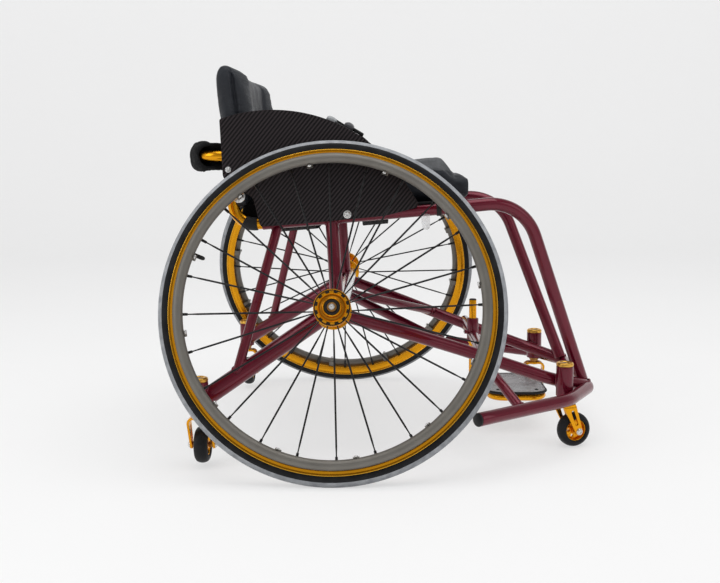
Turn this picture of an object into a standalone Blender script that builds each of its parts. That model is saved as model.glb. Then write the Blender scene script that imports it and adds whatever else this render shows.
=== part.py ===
"""Rigid-frame sports wheelchair with cambered drive wheels.

Lengths are in metres. +X points forward, +Y to the sitter's left and +Z up, with the floor at Z = 0.
X values below are measured from the vertical plane through both hub centres. An empty named
wheelchair carries everything and moves that plane so that the origin is under the middle.
"""

import math

import bmesh
import bpy
from mathutils import Matrix, Vector

# Gap between pieces that touch, and clearance of a shaft in its hole
GAP = 0.0003
RUNNING = 0.0003

# Drive wheels
WHEEL_R = 0.320
TYRE_D = 0.025
TYRE_TALL = 0.0192
CAMBER = math.radians(16.42)
WHEEL_SPACE = 0.0236
RIM_DEPTH = 0.0168
RIM_WIDTH = 0.021
FLANGE_R = 0.0345
FLANGE_T = 0.0040
FLANGE_OUT = 0.0225
FLANGE_IN = 0.0275
HUB_BODY_R = 0.0150
HUB_RING_R = 0.0168
HUB_END_IN = 0.0340
HUB_FACE = 0.0270
AXLE_R = 0.00635
AXLE_HEAD_R = 0.0085
BUTTON_R = 0.0055
BUTTON_TRAVEL = 0.0030
SPOKE_R = 0.00115
SPOKES = 24
SPOKE_PHASE = math.radians(1.5)
PUSHRIM_DROP = 0.0022
PUSHRIM_D = 0.0190
PUSHRIM_OUT = 0.0190
TABS = 12
TAB_PHASE = math.radians(9)
TAB_W = 0.012
TAB_T = 0.003
TAB_FOOT = 0.008
TAB_LOW = -0.004
WHEEL_STEPS = 36

# Frame tubes
FRAME_D = 0.0254
BRACE_D = 0.0190
REAR_D = 0.0340
CAMBER_D = 0.0270
CROSS_D = 0.0220
CAMBER_X = 0.014
CAMBER_DROP = 0.0075
PLUG_REACH = 0.060
PLUG_T = 0.0077
PLUG_BARREL_R = 0.0125
PLUG_DEPTH = 0.058
RAIL_Y = 0.232
RAIL_FRONT_Z = 0.490
RAIL_FALL = 0.0315
RAIL_FRONT_X = 0.276
RAIL_REAR_X = -0.140
SHOULDER_X = 0.369
SHOULDER_IN = 0.026
SHOULDER_RISE = 0.007
BUMPER_X = 0.5146
BUMPER_Z = 0.110
WING_BACK = 0.2500
WING_OUT = 0.043
ELBOW_BACK = 0.0596
ELBOW_Y = 0.256
CORNER_Y = 0.145
STRUT_BACK = 0.1626
STRUT_Y = 0.3345
CAP_T = 0.004

# Casters
HOUSING_R = 0.0172
FRONT_CASTER_BACK = 0.0586
FRONT_CASTER_Y = 0.200
REAR_CASTER_X = -0.2533
REAR_CASTER_IN = 0.018
FRONT_HOUSING_TOP = 0.166
REAR_HOUSING_TOP = 0.170
CASTER_CAP_H = 0.0085
CASTER_R = 0.035
CASTER_W = 0.028
CASTER_HUB_R = 0.0215
CASTER_STEPS = 16
REAR_LIFT = 0.008
TRAIL = 0.0215
FORK_DROP = 0.0605
FORK_W = 0.048
FORK_T = 0.0048
FORK_NECK = 0.0105
NECK_R = 0.0095
STEM_R = 0.0060
AXLE_BOLT_R = 0.0040

# Footrest
POST_BACK = 0.2246
POST_R = 0.0080
SLEEVE_R = 0.0125
SLEEVE_DOWN = 0.0140
SLEEVE_UP = 0.0370
POST_UP = 0.0802
CLAMP_R = 0.0045
LOOP_R = 0.0070
LOOP_Z = 0.0765
LOOP_START = 0.032
LOOP_LENGTH = 0.112
LOOP_Y = 0.092
PLATE_T = 0.0055
PLATE_EDGE = 0.008
PLATE_CORNER = 0.035

# Seat and back
GUARD_OUT = 0.0175
GUARD_T = 0.0030
GUARD_BOLT_R = 0.0050
RAIL_BOLT = (0.0256, 0.0170)
BACK_BOLT = (-0.2015, 0.1045)
SLING_T = 0.0030
SLING_X = (-0.125, 0.215)
SLING_SAG = 0.010
CUSHION_IN = 0.027
CUSHION_REAR = -0.160
CUSHION_FRONT = 0.267
CUSHION_RISE = 0.088
ROLL_RISE = 0.062
ROLL_X = 0.219
CANE_R = 0.0110
CANE_RISE = 0.2835
CANE_X = -0.2065
CANE_IN = 0.012
BOW_RISE = 0.1285
BOW_X = -0.3035
BOW_IN = 0.0085
BOW_END_Y = 0.150
BOW_PAD = (0.014, 0.028)
BOW_PAD_WIDE = 0.100
BACK_OUT = 0.0055
BACK_REAR = -0.226
BACK_FRONT = -0.184
BACK_RISE = 0.0335
BACK_TALL = 0.271
CHANNELS = 6
BELT_W = 0.045
BELT_T = 0.0025
BELT_X = 0.022
BELT_IN = 0.0045
BELT_RISE = 0.153
BELT_BEND = 0.100
BELT_TILT = 0.60

# Worked-out values
GUARD_Y = RAIL_Y + GUARD_OUT
HUB_Y = GUARD_Y + WHEEL_SPACE + (WHEEL_R - TYRE_D / 2) * math.sin(CAMBER)
HUB_Z = (WHEEL_R - TYRE_D / 2) * math.cos(CAMBER) + TYRE_D / 2
HUB_X = (WHEEL_R - BUMPER_X - FRAME_D / 2) / 2
RIM_R = WHEEL_R - TYRE_TALL
RIM_IN = RIM_R - RIM_DEPTH
PUSHRIM_R = RIM_IN - PUSHRIM_DROP
CAMBER_Z = HUB_Z - CAMBER_DROP
CAMBER_HALF = HUB_Y - PLUG_REACH
WING_END = (BUMPER_X - WING_BACK, HUB_Y + WING_OUT)
WING_BEND = (BUMPER_X - ELBOW_BACK, ELBOW_Y)
FRONT_CASTER = (BUMPER_X - FRONT_CASTER_BACK, FRONT_CASTER_Y)
REAR_CASTER = (REAR_CASTER_X, HUB_Y - REAR_CASTER_IN)
CROWN_FRONT = CASTER_R + FORK_DROP
CROWN_REAR = CROWN_FRONT + REAR_LIFT
POST_X = BUMPER_X - POST_BACK
LOOP_X = (POST_X + LOOP_START, POST_X + LOOP_START + LOOP_LENGTH)
PLATE_Z = LOOP_Z + LOOP_R + GAP
RAIL_REAR_Z = RAIL_FRONT_Z - RAIL_FALL
CUSHION_HALF = RAIL_Y - CUSHION_IN
CUSHION_TOP = RAIL_FRONT_Z + CUSHION_RISE
ROLL_TOP = RAIL_FRONT_Z + ROLL_RISE
BOW_Y = RAIL_Y - BOW_IN
BOW_Z = RAIL_REAR_Z + BOW_RISE
BACK_HALF = RAIL_Y + BACK_OUT
BACK_LOW = RAIL_REAR_Z + BACK_RISE
BACK_TOP = BACK_LOW + BACK_TALL
BELT_Y = RAIL_Y - BELT_IN
BELT_TOP = RAIL_FRONT_Z + BELT_RISE
RAIL_SLOPE = (RAIL_FRONT_Z - RAIL_REAR_Z) / (RAIL_FRONT_X - RAIL_REAR_X)

for old in list(bpy.data.objects):
    bpy.data.objects.remove(old, do_unlink=True)

PARTS = bpy.data.collections.new("sports_wheelchair")
TOOLS = bpy.data.collections.new("cutters")
for group in (PARTS, TOOLS):
    bpy.context.scene.collection.children.link(group)

CHAIR = bpy.data.objects.new("wheelchair", None)
CHAIR.location.x = HUB_X
PARTS.objects.link(CHAIR)


def finish(name, colour, roughness, metallic):
    """A Principled material in one colour."""
    made = bpy.data.materials.new(name)
    made.use_nodes = True
    shader = made.node_tree.nodes["Principled BSDF"]
    shader.inputs["Base Color"].default_value = (*colour, 1)
    shader.inputs["Roughness"].default_value = roughness
    shader.inputs["Metallic"].default_value = metallic
    return made


BURGUNDY = finish("burgundy_gloss", (0.085, 0.004, 0.012), 0.18, 0.3)
GOLD = finish("gold_anodised", (0.72, 0.34, 0.02), 0.28, 0.9)
SILVER = finish("polished_aluminium", (0.80, 0.80, 0.80), 0.20, 1.0)
TITANIUM = finish("grey_pushrim", (0.25, 0.24, 0.22), 0.35, 0.9)
TYRE = finish("tyre_rubber", (0.05, 0.05, 0.055), 0.75, 0.0)
BLACK = finish("black_plastic", (0.012, 0.012, 0.012), 0.45, 0.0)
LEATHER = finish("black_leather", (0.015, 0.015, 0.018), 0.55, 0.0)
FABRIC = finish("black_fabric", (0.010, 0.010, 0.011), 0.85, 0.0)
CARBON = finish("carbon_twill", (0.020, 0.018, 0.018), 0.35, 0.0)
PLATE = finish("grey_plate", (0.33, 0.33, 0.34), 0.30, 0.2)


def settle(obj, smooth=32):
    """Turns a curve, or a mesh with modifiers, into a plain closed mesh that faces outwards."""
    bpy.context.view_layer.update()
    graph = bpy.context.evaluated_depsgraph_get()
    mesh = bpy.data.meshes.new_from_object(obj.evaluated_get(graph))
    shape = bmesh.new()
    shape.from_mesh(mesh)
    bmesh.ops.remove_doubles(shape, verts=shape.verts, dist=0.00001)
    bmesh.ops.recalc_face_normals(shape, faces=shape.faces)
    shape.to_mesh(mesh)
    shape.free()
    mesh.shade_smooth()
    mesh.set_sharp_from_angle(angle=math.radians(smooth))
    name = obj.name
    new = bpy.data.objects.new("settled", mesh)
    new.matrix_world = obj.matrix_world.copy()
    bpy.data.objects.remove(obj, do_unlink=True)
    new.name = name
    mesh.name = name
    return new


def place(obj, material, parent=CHAIR):
    """Puts a finished piece into the chair, at its place under its parent."""
    obj.data.materials.clear()
    obj.data.materials.append(material)
    PARTS.objects.link(obj)
    obj.parent = parent
    return obj


def keep_as_cutter(obj, parent=CHAIR):
    TOOLS.objects.link(obj)
    obj.parent = parent
    obj.hide_render = True
    obj.display_type = "WIRE"
    return obj


def combine(obj, other, operation):
    change = obj.modifiers.new(other.name, "BOOLEAN")
    change.operation = operation
    change.solver = "EXACT"
    change.object = other


def rounded(corners, radii, step=math.radians(13)):
    """A path of straight runs with a bend of the given radius at each inner corner."""
    points = [Vector(c) for c in corners]
    path = [points[0]]
    for before, corner, after, radius in zip(points, points[1:], points[2:], radii):
        into = (corner - before).normalized()
        out = (after - corner).normalized()
        turn = into.angle(out)
        normal = (out - into * math.cos(turn)) / math.sin(turn)
        start = corner - into * radius * math.tan(turn / 2)
        count = max(1, math.ceil(turn / step))
        for k in range(count + 1):
            a = turn * k / count
            path.append(start + radius * (math.sin(a) * into + (1 - math.cos(a)) * normal))
    path.append(points[-1])
    return path


def swept(name, path, radius, sides=12, closed=False):
    """A round bar along a path, with flat ends."""
    curve = bpy.data.curves.new(name, "CURVE")
    curve.dimensions = "3D"
    curve.bevel_depth = radius
    curve.bevel_resolution = sides // 2 - 2
    curve.use_fill_caps = not closed
    spline = curve.splines.new("POLY")
    spline.points.add(len(path) - 1)
    spline.use_cyclic_u = closed
    for point, place_at in zip(spline.points, path):
        point.co = (*place_at, 1)
    obj = bpy.data.objects.new(name, curve)
    bpy.context.scene.collection.objects.link(obj)
    return settle(obj)


ROUTES = {}


def tube(name, path, radius, material, sides=12):
    """A frame tube. Its route is kept, so that the tubes that meet it can be mitred to it."""
    ROUTES[name] = (path, radius, sides)
    return place(swept(name, path, radius, sides), material)


def clearance_of(name):
    """A cutter with the shape of a routed tube, larger by the gap all round."""
    label = name + "_clearance"
    if label not in bpy.data.objects:
        path, radius, sides = ROUTES[name]
        first = (path[0] - path[1]).normalized() * GAP
        last = (path[-1] - path[-2]).normalized() * GAP
        longer = [path[0] + first, *path[1:-1], path[-1] + last]
        keep_as_cutter(swept(label, longer, radius + GAP, sides))
    return bpy.data.objects[label]


def mitre(obj, *names):
    for name in names:
        combine(obj, clearance_of(name), "DIFFERENCE")


def turned(name, profile, steps, closed=False):
    """A profile of (radius, height) points turned about Z. A closed profile leaves a bore."""
    mesh = bpy.data.meshes.new(name)
    shape = bmesh.new()
    verts = [shape.verts.new((r, 0, z)) for r, z in profile]
    pairs = list(zip(verts, verts[1:]))
    if closed:
        pairs.append((verts[-1], verts[0]))
    for pair in pairs:
        shape.edges.new(pair)
    shape.to_mesh(mesh)
    shape.free()
    obj = bpy.data.objects.new(name, mesh)
    bpy.context.scene.collection.objects.link(obj)
    spin = obj.modifiers.new("turn", "SCREW")
    spin.steps = steps
    spin.render_steps = steps
    spin.use_merge_vertices = True
    spin.merge_threshold = 0.00001
    return settle(obj)


def rod(name, start, end, radius, sides=12):
    return swept(name, [Vector(start), Vector(end)], radius, sides)


def joined(body, adds=(), cuts=()):
    """One solid: the body with some solids added, then others cut away."""
    for group, operation in ((adds, "UNION"), (cuts, "DIFFERENCE")):
        for other in group:
            bpy.context.scene.collection.objects.link(other)
            combine(body, other, operation)
    if not body.users_collection:
        bpy.context.scene.collection.objects.link(body)
    made = settle(body)
    for other in (*adds, *cuts):
        bpy.data.objects.remove(other, do_unlink=True)
    return made


def wheel_axis(side):
    """Hub centre and outward axle direction of a drive wheel."""
    centre = Vector((0, side * HUB_Y, HUB_Z))
    return centre, Vector((0, side * math.cos(CAMBER), math.sin(CAMBER)))


def rail_z(x):
    return RAIL_REAR_Z + RAIL_SLOPE * (x - RAIL_REAR_X)


# Corners of the lower side tube and of the tube to the rear caster, for the left side
LOWER_ROUTE = (
    (CAMBER_X + 0.004, CAMBER_HALF - 0.018, CAMBER_Z - 0.0155),
    (0.150, 0.238, 0.2385),
    (0.245, 0.208, 0.204),
    (BUMPER_X - 0.0846, FRONT_CASTER_Y - 0.0145, BUMPER_Z + 0.027),
    (BUMPER_X - 0.0066, CORNER_Y - 0.005, BUMPER_Z + 0.004),
)
REAR_ROUTE = (
    (CAMBER_X - 0.006, RAIL_Y + 0.002, CAMBER_Z - 0.0033),
    (*REAR_CASTER, REAR_HOUSING_TOP - 0.0395),
)


def beside(route, x, out, up):
    """The point of a route at x, moved outwards and up."""
    for (x0, y0, z0), (x1, y1, z1) in zip(route, route[1:]):
        share = (x - x0) / (x1 - x0)
        if 0 <= share <= 1:
            break
    return x, y0 + (y1 - y0) * share + out, z0 + (z1 - z0) * share + up


def side_name(side):
    return "left" if side > 0 else "right"


def make_frame():
    """The welded tubes. Each is mitred to the ones that it meets."""
    camber = [Vector((CAMBER_X, -CAMBER_HALF, CAMBER_Z)), Vector((CAMBER_X, CAMBER_HALF, CAMBER_Z))]
    tube("camber_tube", camber, CAMBER_D / 2, SILVER, 16)
    half = [(*WING_END, BUMPER_Z), (*WING_BEND, BUMPER_Z), (BUMPER_X, CORNER_Y, BUMPER_Z)]
    other_half = [(x, -y, z) for x, y, z in reversed(half)]
    bumper = rounded(half + other_half, (0.10, 0.045, 0.045, 0.10))
    tube("bumper_tube", bumper, FRAME_D / 2, BURGUNDY)
    for side in (-1, 1):
        make_frame_side(side)


def make_frame_side(side):
    end = side_name(side)

    def at(x, y, z):
        return Vector((x, side * y, z))

    centre, out = wheel_axis(side)
    barrel = [centre - out * (HUB_END_IN + GAP), centre - out * PLUG_DEPTH]
    disc_in = CAMBER_HALF + GAP
    disc = [at(CAMBER_X, disc_in, CAMBER_Z), at(CAMBER_X, disc_in + PLUG_T, CAMBER_Z)]
    ROUTES["barrel_" + end] = (barrel, PLUG_BARREL_R, 16)
    ROUTES["disc_" + end] = (disc, CAMBER_D / 2, 16)
    bore = rod("bore", centre, centre - out * (PLUG_DEPTH - 0.0012), AXLE_R + RUNNING, 16)
    plug = joined(
        swept("camber_plug_" + end, disc, CAMBER_D / 2, 16),
        [swept("barrel", barrel, PLUG_BARREL_R, 16)],
        [bore],
    )
    place(plug, SILVER)

    rail = rounded(
        [
            at(RAIL_REAR_X, RAIL_Y, RAIL_REAR_Z),
            at(RAIL_FRONT_X, RAIL_Y, RAIL_FRONT_Z),
            at(SHOULDER_X, RAIL_Y - SHOULDER_IN, RAIL_FRONT_Z + SHOULDER_RISE),
            at(BUMPER_X - 0.0126, CORNER_Y - 0.0155, BUMPER_Z + 0.020),
        ],
        (0.20, 0.050),
    )
    seat_tube = tube("seat_tube_" + end, rail, FRAME_D / 2, BURGUNDY)
    mitre(seat_tube, "bumper_tube")

    post = [at(-0.0055, RAIL_Y + 0.002, rail_z(-0.0055)), at(CAMBER_X - 0.0105, RAIL_Y + 0.014, CAMBER_Z)]
    seat_post = tube("seat_post_" + end, post, FRAME_D / 2, BURGUNDY)
    mitre(seat_post, "seat_tube_" + end, "camber_tube")

    lower = rounded([at(*corner) for corner in LOWER_ROUTE], (0.5, 0.4, 0.10))
    housing = housing_of(FRONT_CASTER, side, CROWN_FRONT, FRONT_HOUSING_TOP)
    lower_name = "lower_side_tube_" + end
    ROUTES[lower_name] = (lower, FRAME_D / 2, 12)
    side_tube = joined(swept(lower_name, lower, FRAME_D / 2), [housing], [stem_bore(FRONT_CASTER, side)])
    place(side_tube, BURGUNDY)
    mitre(side_tube, "camber_tube", "disc_" + end, "bumper_tube", "seat_tube_" + end)

    rear = [at(*spot) for spot in REAR_ROUTE]
    rear_name = "rear_lower_tube_" + end
    ROUTES[rear_name] = (rear, REAR_D / 2, 12)
    housing = housing_of(REAR_CASTER, side, CROWN_REAR, REAR_HOUSING_TOP)
    rear_tube = joined(swept(rear_name, rear, REAR_D / 2), [housing], [stem_bore(REAR_CASTER, side)])
    place(rear_tube, BURGUNDY)
    mitre(rear_tube, "camber_tube", "seat_post_" + end, "barrel_" + end, "disc_" + end, lower_name)

    stay = [at(-0.108, RAIL_Y, rail_z(-0.108)), at(*beside(REAR_ROUTE, -0.187, 0.0065, 0))]
    rear_stay = tube("rear_stay_" + end, stay, BRACE_D / 2, BURGUNDY)
    mitre(rear_stay, "seat_tube_" + end, rear_name)

    brace = [at(CAMBER_X, 0.010, CAMBER_Z - 0.0095), at(*beside(LOWER_ROUTE, 0.212, -0.008, 0.002))]
    v_brace = tube("v_brace_" + end, brace, BRACE_D / 2, BURGUNDY)
    mitre(v_brace, "camber_tube", lower_name)

    strut = [at(*beside(LOWER_ROUTE, POST_X - 0.007, 0, 0)), at(BUMPER_X - STRUT_BACK, STRUT_Y, BUMPER_Z)]
    bumper_strut = tube("bumper_strut_" + end, strut, BRACE_D / 2, BURGUNDY)
    mitre(bumper_strut, "bumper_tube", lower_name)

    wing = Vector((*WING_END, BUMPER_Z))
    back = (wing - Vector((*WING_BEND, BUMPER_Z))).normalized()
    cap = [wing + back * GAP, wing + back * (GAP + CAP_T)]
    place(swept("bumper_cap_" + end, [at(*p) for p in cap], FRAME_D / 2), BLACK)


def housing_of(spot, side, crown, top):
    x, y = spot
    return rod("housing", (x, side * y, crown + FORK_NECK), (x, side * y, top), HOUSING_R, 16)


def stem_bore(spot, side):
    x, y = spot
    return rod("bore", (x, side * y, 0), (x, side * y, 0.3), STEM_R + RUNNING, 12)


def make_wheel_meshes():
    """One tyre, rim, hub with spokes, pushrim, axle and button, turned about Z with +Z outwards."""
    ring = WHEEL_R - TYRE_D / 2
    meet = math.acos((RIM_R + GAP - ring) / (TYRE_D / 2))
    inner_face = [-math.pi / 2, -math.radians(53), -CAMBER]
    angles = [-meet, *inner_face, *(math.radians(30 * k) for k in range(4)), meet]
    tread = [(ring + TYRE_D / 2 * math.cos(a), TYRE_D / 2 * math.sin(a)) for a in angles]
    meshes = {"tyre": (turned("tyre", tread, WHEEL_STEPS, closed=True), TYRE)}

    wide, narrow = RIM_WIDTH / 2, RIM_WIDTH * 0.28
    shoulder = RIM_IN + RIM_DEPTH / 2
    half = [(RIM_R, wide), (shoulder, wide), (RIM_IN, narrow)]
    profile = half + [(r, -z) for r, z in reversed(half)]
    meshes["rim"] = (turned("rim", profile, WHEEL_STEPS, closed=True), GOLD)

    bore, body = AXLE_R + RUNNING, HUB_BODY_R
    hub = [
        (bore, HUB_FACE),
        (HUB_RING_R - 0.0023, HUB_FACE),
        (HUB_RING_R - 0.0023, HUB_FACE + 0.005),
        (HUB_RING_R, HUB_FACE + 0.005),
        (HUB_RING_R + 0.002, FLANGE_OUT + 0.001),
        (FLANGE_R, FLANGE_OUT),
        (FLANGE_R, FLANGE_OUT - FLANGE_T),
        (body + 0.005, FLANGE_OUT - FLANGE_T - 0.001),
        (body, FLANGE_OUT - FLANGE_T - 0.008),
        (body, FLANGE_T + 0.007 - FLANGE_IN),
        (body + 0.005, FLANGE_T + 0.001 - FLANGE_IN),
        (FLANGE_R, FLANGE_T - FLANGE_IN),
        (FLANGE_R, -FLANGE_IN),
        (body + 0.003, -FLANGE_IN - 0.0015),
        (body - 0.001, -HUB_END_IN),
        (bore, -HUB_END_IN),
    ]
    spokes = [spoke(k) for k in range(SPOKES)]
    meshes["hub"] = (joined(turned("hub", hub, 16, closed=True), spokes), GOLD)

    section = [
        (PUSHRIM_R + PUSHRIM_D / 2 * math.cos(a), PUSHRIM_OUT + PUSHRIM_D / 2 * math.sin(a))
        for a in (math.radians(45 * k) for k in range(8))
    ]
    tabs = [tab(k) for k in range(TABS)]
    hoop = turned("pushrim", section, WHEEL_STEPS, closed=True)
    meshes["pushrim"] = (joined(hoop, tabs), TITANIUM)

    head = HUB_FACE + GAP
    floor = head + 0.0014
    axle = [
        (0, floor),
        (BUTTON_R + RUNNING, floor),
        (BUTTON_R + RUNNING, head + 0.007),
        (AXLE_HEAD_R, head + 0.007),
        (AXLE_HEAD_R, head),
        (AXLE_R, head),
        (AXLE_R, 0.0015 - PLUG_DEPTH),
        (0, 0.0015 - PLUG_DEPTH),
    ]
    meshes["axle"] = (turned("axle", axle, 12), SILVER)
    low = floor + BUTTON_TRAVEL + GAP
    button = [
        (0, low + 0.0060),
        (BUTTON_R - 0.0012, low + 0.0060),
        (BUTTON_R, low + 0.0048),
        (BUTTON_R, low),
        (0, low),
    ]
    meshes["release_button"] = (turned("release_button", button, 12), SILVER)
    return meshes


def spoke(k):
    """Straight spoke from its flange to the rim. Every second one starts at the outer flange."""
    angle = SPOKE_PHASE + 2 * math.pi * k / SPOKES
    height = FLANGE_OUT - FLANGE_T / 2 if k % 2 else FLANGE_T / 2 - FLANGE_IN
    ray = Vector((math.cos(angle), math.sin(angle), 0))
    foot = ray * (FLANGE_R - 0.004) + Vector((0, 0, height))
    facet = math.cos(math.pi / WHEEL_STEPS)
    return rod("spoke", foot, ray * ((RIM_IN - 0.0006) * facet), SPOKE_R, 4)


def tab(k):
    """Bent strap from the rim's inner face out to the pushrim."""
    angle = TAB_PHASE + 2 * math.pi * k / TABS
    top = (RIM_IN - GAP) * math.cos(math.pi / WHEEL_STEPS)
    under = PUSHRIM_R - PUSHRIM_D / 2 + 0.001
    foot = TAB_LOW + TAB_FOOT
    outline = [
        (under - TAB_T, TAB_LOW),
        (top, TAB_LOW),
        (top, foot),
        (under, foot),
        (under, PUSHRIM_OUT),
        (under - TAB_T, PUSHRIM_OUT),
    ]
    made = plate("tab", outline, TAB_W, "XZ")
    made.data.transform(Matrix.Rotation(angle, 4, "Z"))
    return made


def make_wheels():
    meshes = make_wheel_meshes()
    for side in (-1, 1):
        hub = bpy.data.objects.new("wheel_axis_" + side_name(side), None)
        PARTS.objects.link(hub)
        hub.parent = CHAIR
        hub.location = (0, side * HUB_Y, HUB_Z)
        hub.rotation_euler.x = -side * (math.pi / 2 - CAMBER)
        for name, (source, material) in meshes.items():
            label = name + "_" + side_name(side)
            place(bpy.data.objects.new(label, source.data), material, hub)
    for source, _ in meshes.values():
        bpy.data.objects.remove(source, do_unlink=True)


def plate(name, outline, thickness, plane="XY", centre=(0, 0, 0)):
    """A flat piece cut to an outline. In the XZ plane its outline's second value is the height."""
    curve = bpy.data.curves.new(name, "CURVE")
    curve.dimensions = "2D"
    curve.fill_mode = "BOTH"
    curve.extrude = thickness / 2
    spline = curve.splines.new("POLY")
    spline.points.add(len(outline) - 1)
    spline.use_cyclic_u = True
    for point, (u, v) in zip(spline.points, outline):
        point.co = (u, v, 0, 1)
    obj = bpy.data.objects.new(name, curve)
    bpy.context.scene.collection.objects.link(obj)
    obj.location = centre
    if plane == "XZ":
        obj.rotation_euler.x = math.pi / 2
    if plane == "YZ":
        obj.rotation_euler = (math.pi / 2, 0, math.pi / 2)
    bpy.context.view_layer.update()
    made = settle(obj)
    made.data.transform(made.matrix_world)
    made.matrix_world = Matrix.Identity(4)
    return made


def arc(centre, radius, start, end, count):
    """Points along an arc from one angle to another, in degrees."""
    steps = [math.radians(start + (end - start) * k / count) for k in range(count + 1)]
    return [(centre[0] + radius * math.cos(a), centre[1] + radius * math.sin(a)) for a in steps]


def through(a, b, c, count):
    """Points along the arc from a through b to c."""
    (ax, ay), (bx, by), (cx, cy) = a, b, c
    d = 2 * (ax * (by - cy) + bx * (cy - ay) + cx * (ay - by))
    sa, sb, sc = ax * ax + ay * ay, bx * bx + by * by, cx * cx + cy * cy
    ux = (sa * (by - cy) + sb * (cy - ay) + sc * (ay - by)) / d
    uy = (sa * (cx - bx) + sb * (ax - cx) + sc * (bx - ax)) / d
    start = math.degrees(math.atan2(ay - uy, ax - ux))
    end = math.degrees(math.atan2(cy - uy, cx - ux))
    return arc((ux, uy), math.hypot(ax - ux, ay - uy), start, end, count)


def make_fork():
    """Fork with neck, stem, axle bolt and spacers. Z is the swivel axis from the crown's top, X the trail."""
    half, bend = FORK_W / 2, 0.012
    inner = half - FORK_T
    foot = -FORK_DROP - 0.009
    outside = [(half, foot), *arc((half - bend, -bend), bend, 0, 90, 3)]
    inside = [(inner, foot), *arc((half - bend, -bend), bend - FORK_T, 0, 90, 3)]
    right = outside + [(-y, z) for y, z in reversed(outside)]
    left = inside + [(-y, z) for y, z in reversed(inside)]
    arch = plate("fork", right + left[::-1], 0.1, "YZ")
    foot_r, crown = 0.0080, 0.0125
    sides = [(-crown, 0.001), (-crown, -0.012), *arc((TRAIL, -FORK_DROP), foot_r, 200, 380, 6)]
    sides += [(crown + 0.003, -0.012), (crown, 0.001)]
    profile = plate("sides", sides, 0.1, "XZ")
    keep = arch.modifiers.new("sides", "BOOLEAN")
    keep.operation = "INTERSECT"
    keep.object = profile
    for obj in (arch, profile):
        bpy.context.scene.collection.objects.link(obj)
    fork = settle(arch)
    bpy.data.objects.remove(profile, do_unlink=True)

    low, high = Vector((0.0155, 0, -0.044)), Vector((0.0065, 0, -0.020))
    across = (high - low).normalized().cross(Vector((0, 1, 0)))
    slot = [*arc((0, 0), 0.0033, 180, 360, 4), *((x, z + 0.0255) for x, z in arc((0, 0), 0.0033, 0, 180, 4))]
    lean = [low + across * u + (high - low).normalized() * v for u, v in slot]
    slot_cut = plate("slot", [(p.x, p.z) for p in lean], 0.1, "XZ")

    axle_y = half + 0.0035
    spacer = CASTER_W / 2 - 0.0025
    adds = [
        rod("neck", (0, 0, -0.002), (0, 0, FORK_NECK - GAP), NECK_R, 10),
        rod("stem", (0, 0, 0), (0, 0, stem_length()), STEM_R, 10),
        rod("bolt", (TRAIL, -axle_y, -FORK_DROP), (TRAIL, axle_y, -FORK_DROP), AXLE_BOLT_R, 10),
        rod("nut", (TRAIL, half - 0.001, -FORK_DROP), (TRAIL, axle_y + 0.0005, -FORK_DROP), 0.0062, 6),
        rod("head", (TRAIL, -axle_y - 0.0005, -FORK_DROP), (TRAIL, 0.001 - half, -FORK_DROP), 0.0062, 6),
    ]
    for sign in (-1, 1):
        ends = (TRAIL, sign * spacer, -FORK_DROP), (TRAIL, sign * (inner + 0.001), -FORK_DROP)
        adds.append(rod("spacer", *ends, 0.0058, 8))
    fork.name = "fork"
    return joined(fork, adds, [slot_cut])


def stem_length():
    """The stem ends just under the cap of the front housing, which is the shorter one."""
    return min(FRONT_HOUSING_TOP - CROWN_FRONT, REAR_HOUSING_TOP - CROWN_REAR) - GAP


def make_caster_wheel():
    """Tyre and hub of a caster, turned about Y through the wheel centre."""
    half, low = CASTER_W / 2, CASTER_HUB_R + GAP
    section = [(low, 0.0110), (0.0265, half), (0.0318, 0.0108), (0.0344, 0.0052), (CASTER_R, 0)]
    profile = section + [(r, -z) for r, z in reversed(section[:-1])]
    tyre = turned("caster_tyre", profile, CASTER_STEPS, closed=True)
    bore, boss = AXLE_BOLT_R + RUNNING, half - 0.0025 - GAP
    web = [
        (bore, boss),
        (0.0080, boss),
        (0.0085, 0.0035),
        (0.0175, 0.0035),
        (CASTER_HUB_R, 0.0105),
    ]
    hub = turned("caster_hub", web + [(r, -z) for r, z in reversed(web)], CASTER_STEPS, closed=True)
    windows = []
    for k in range(5):
        a = 2 * math.pi * (k + 0.5) / 5
        x, y = 0.0128 * math.cos(a), 0.0128 * math.sin(a)
        windows.append(rod("window", (x, y, -0.02), (x, y, 0.02), 0.0033, 6))
    hub = joined(hub, cuts=windows)
    for obj in (tyre, hub):
        obj.data.transform(Matrix.Rotation(math.pi / 2, 4, "X"))
    return tyre, hub


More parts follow.
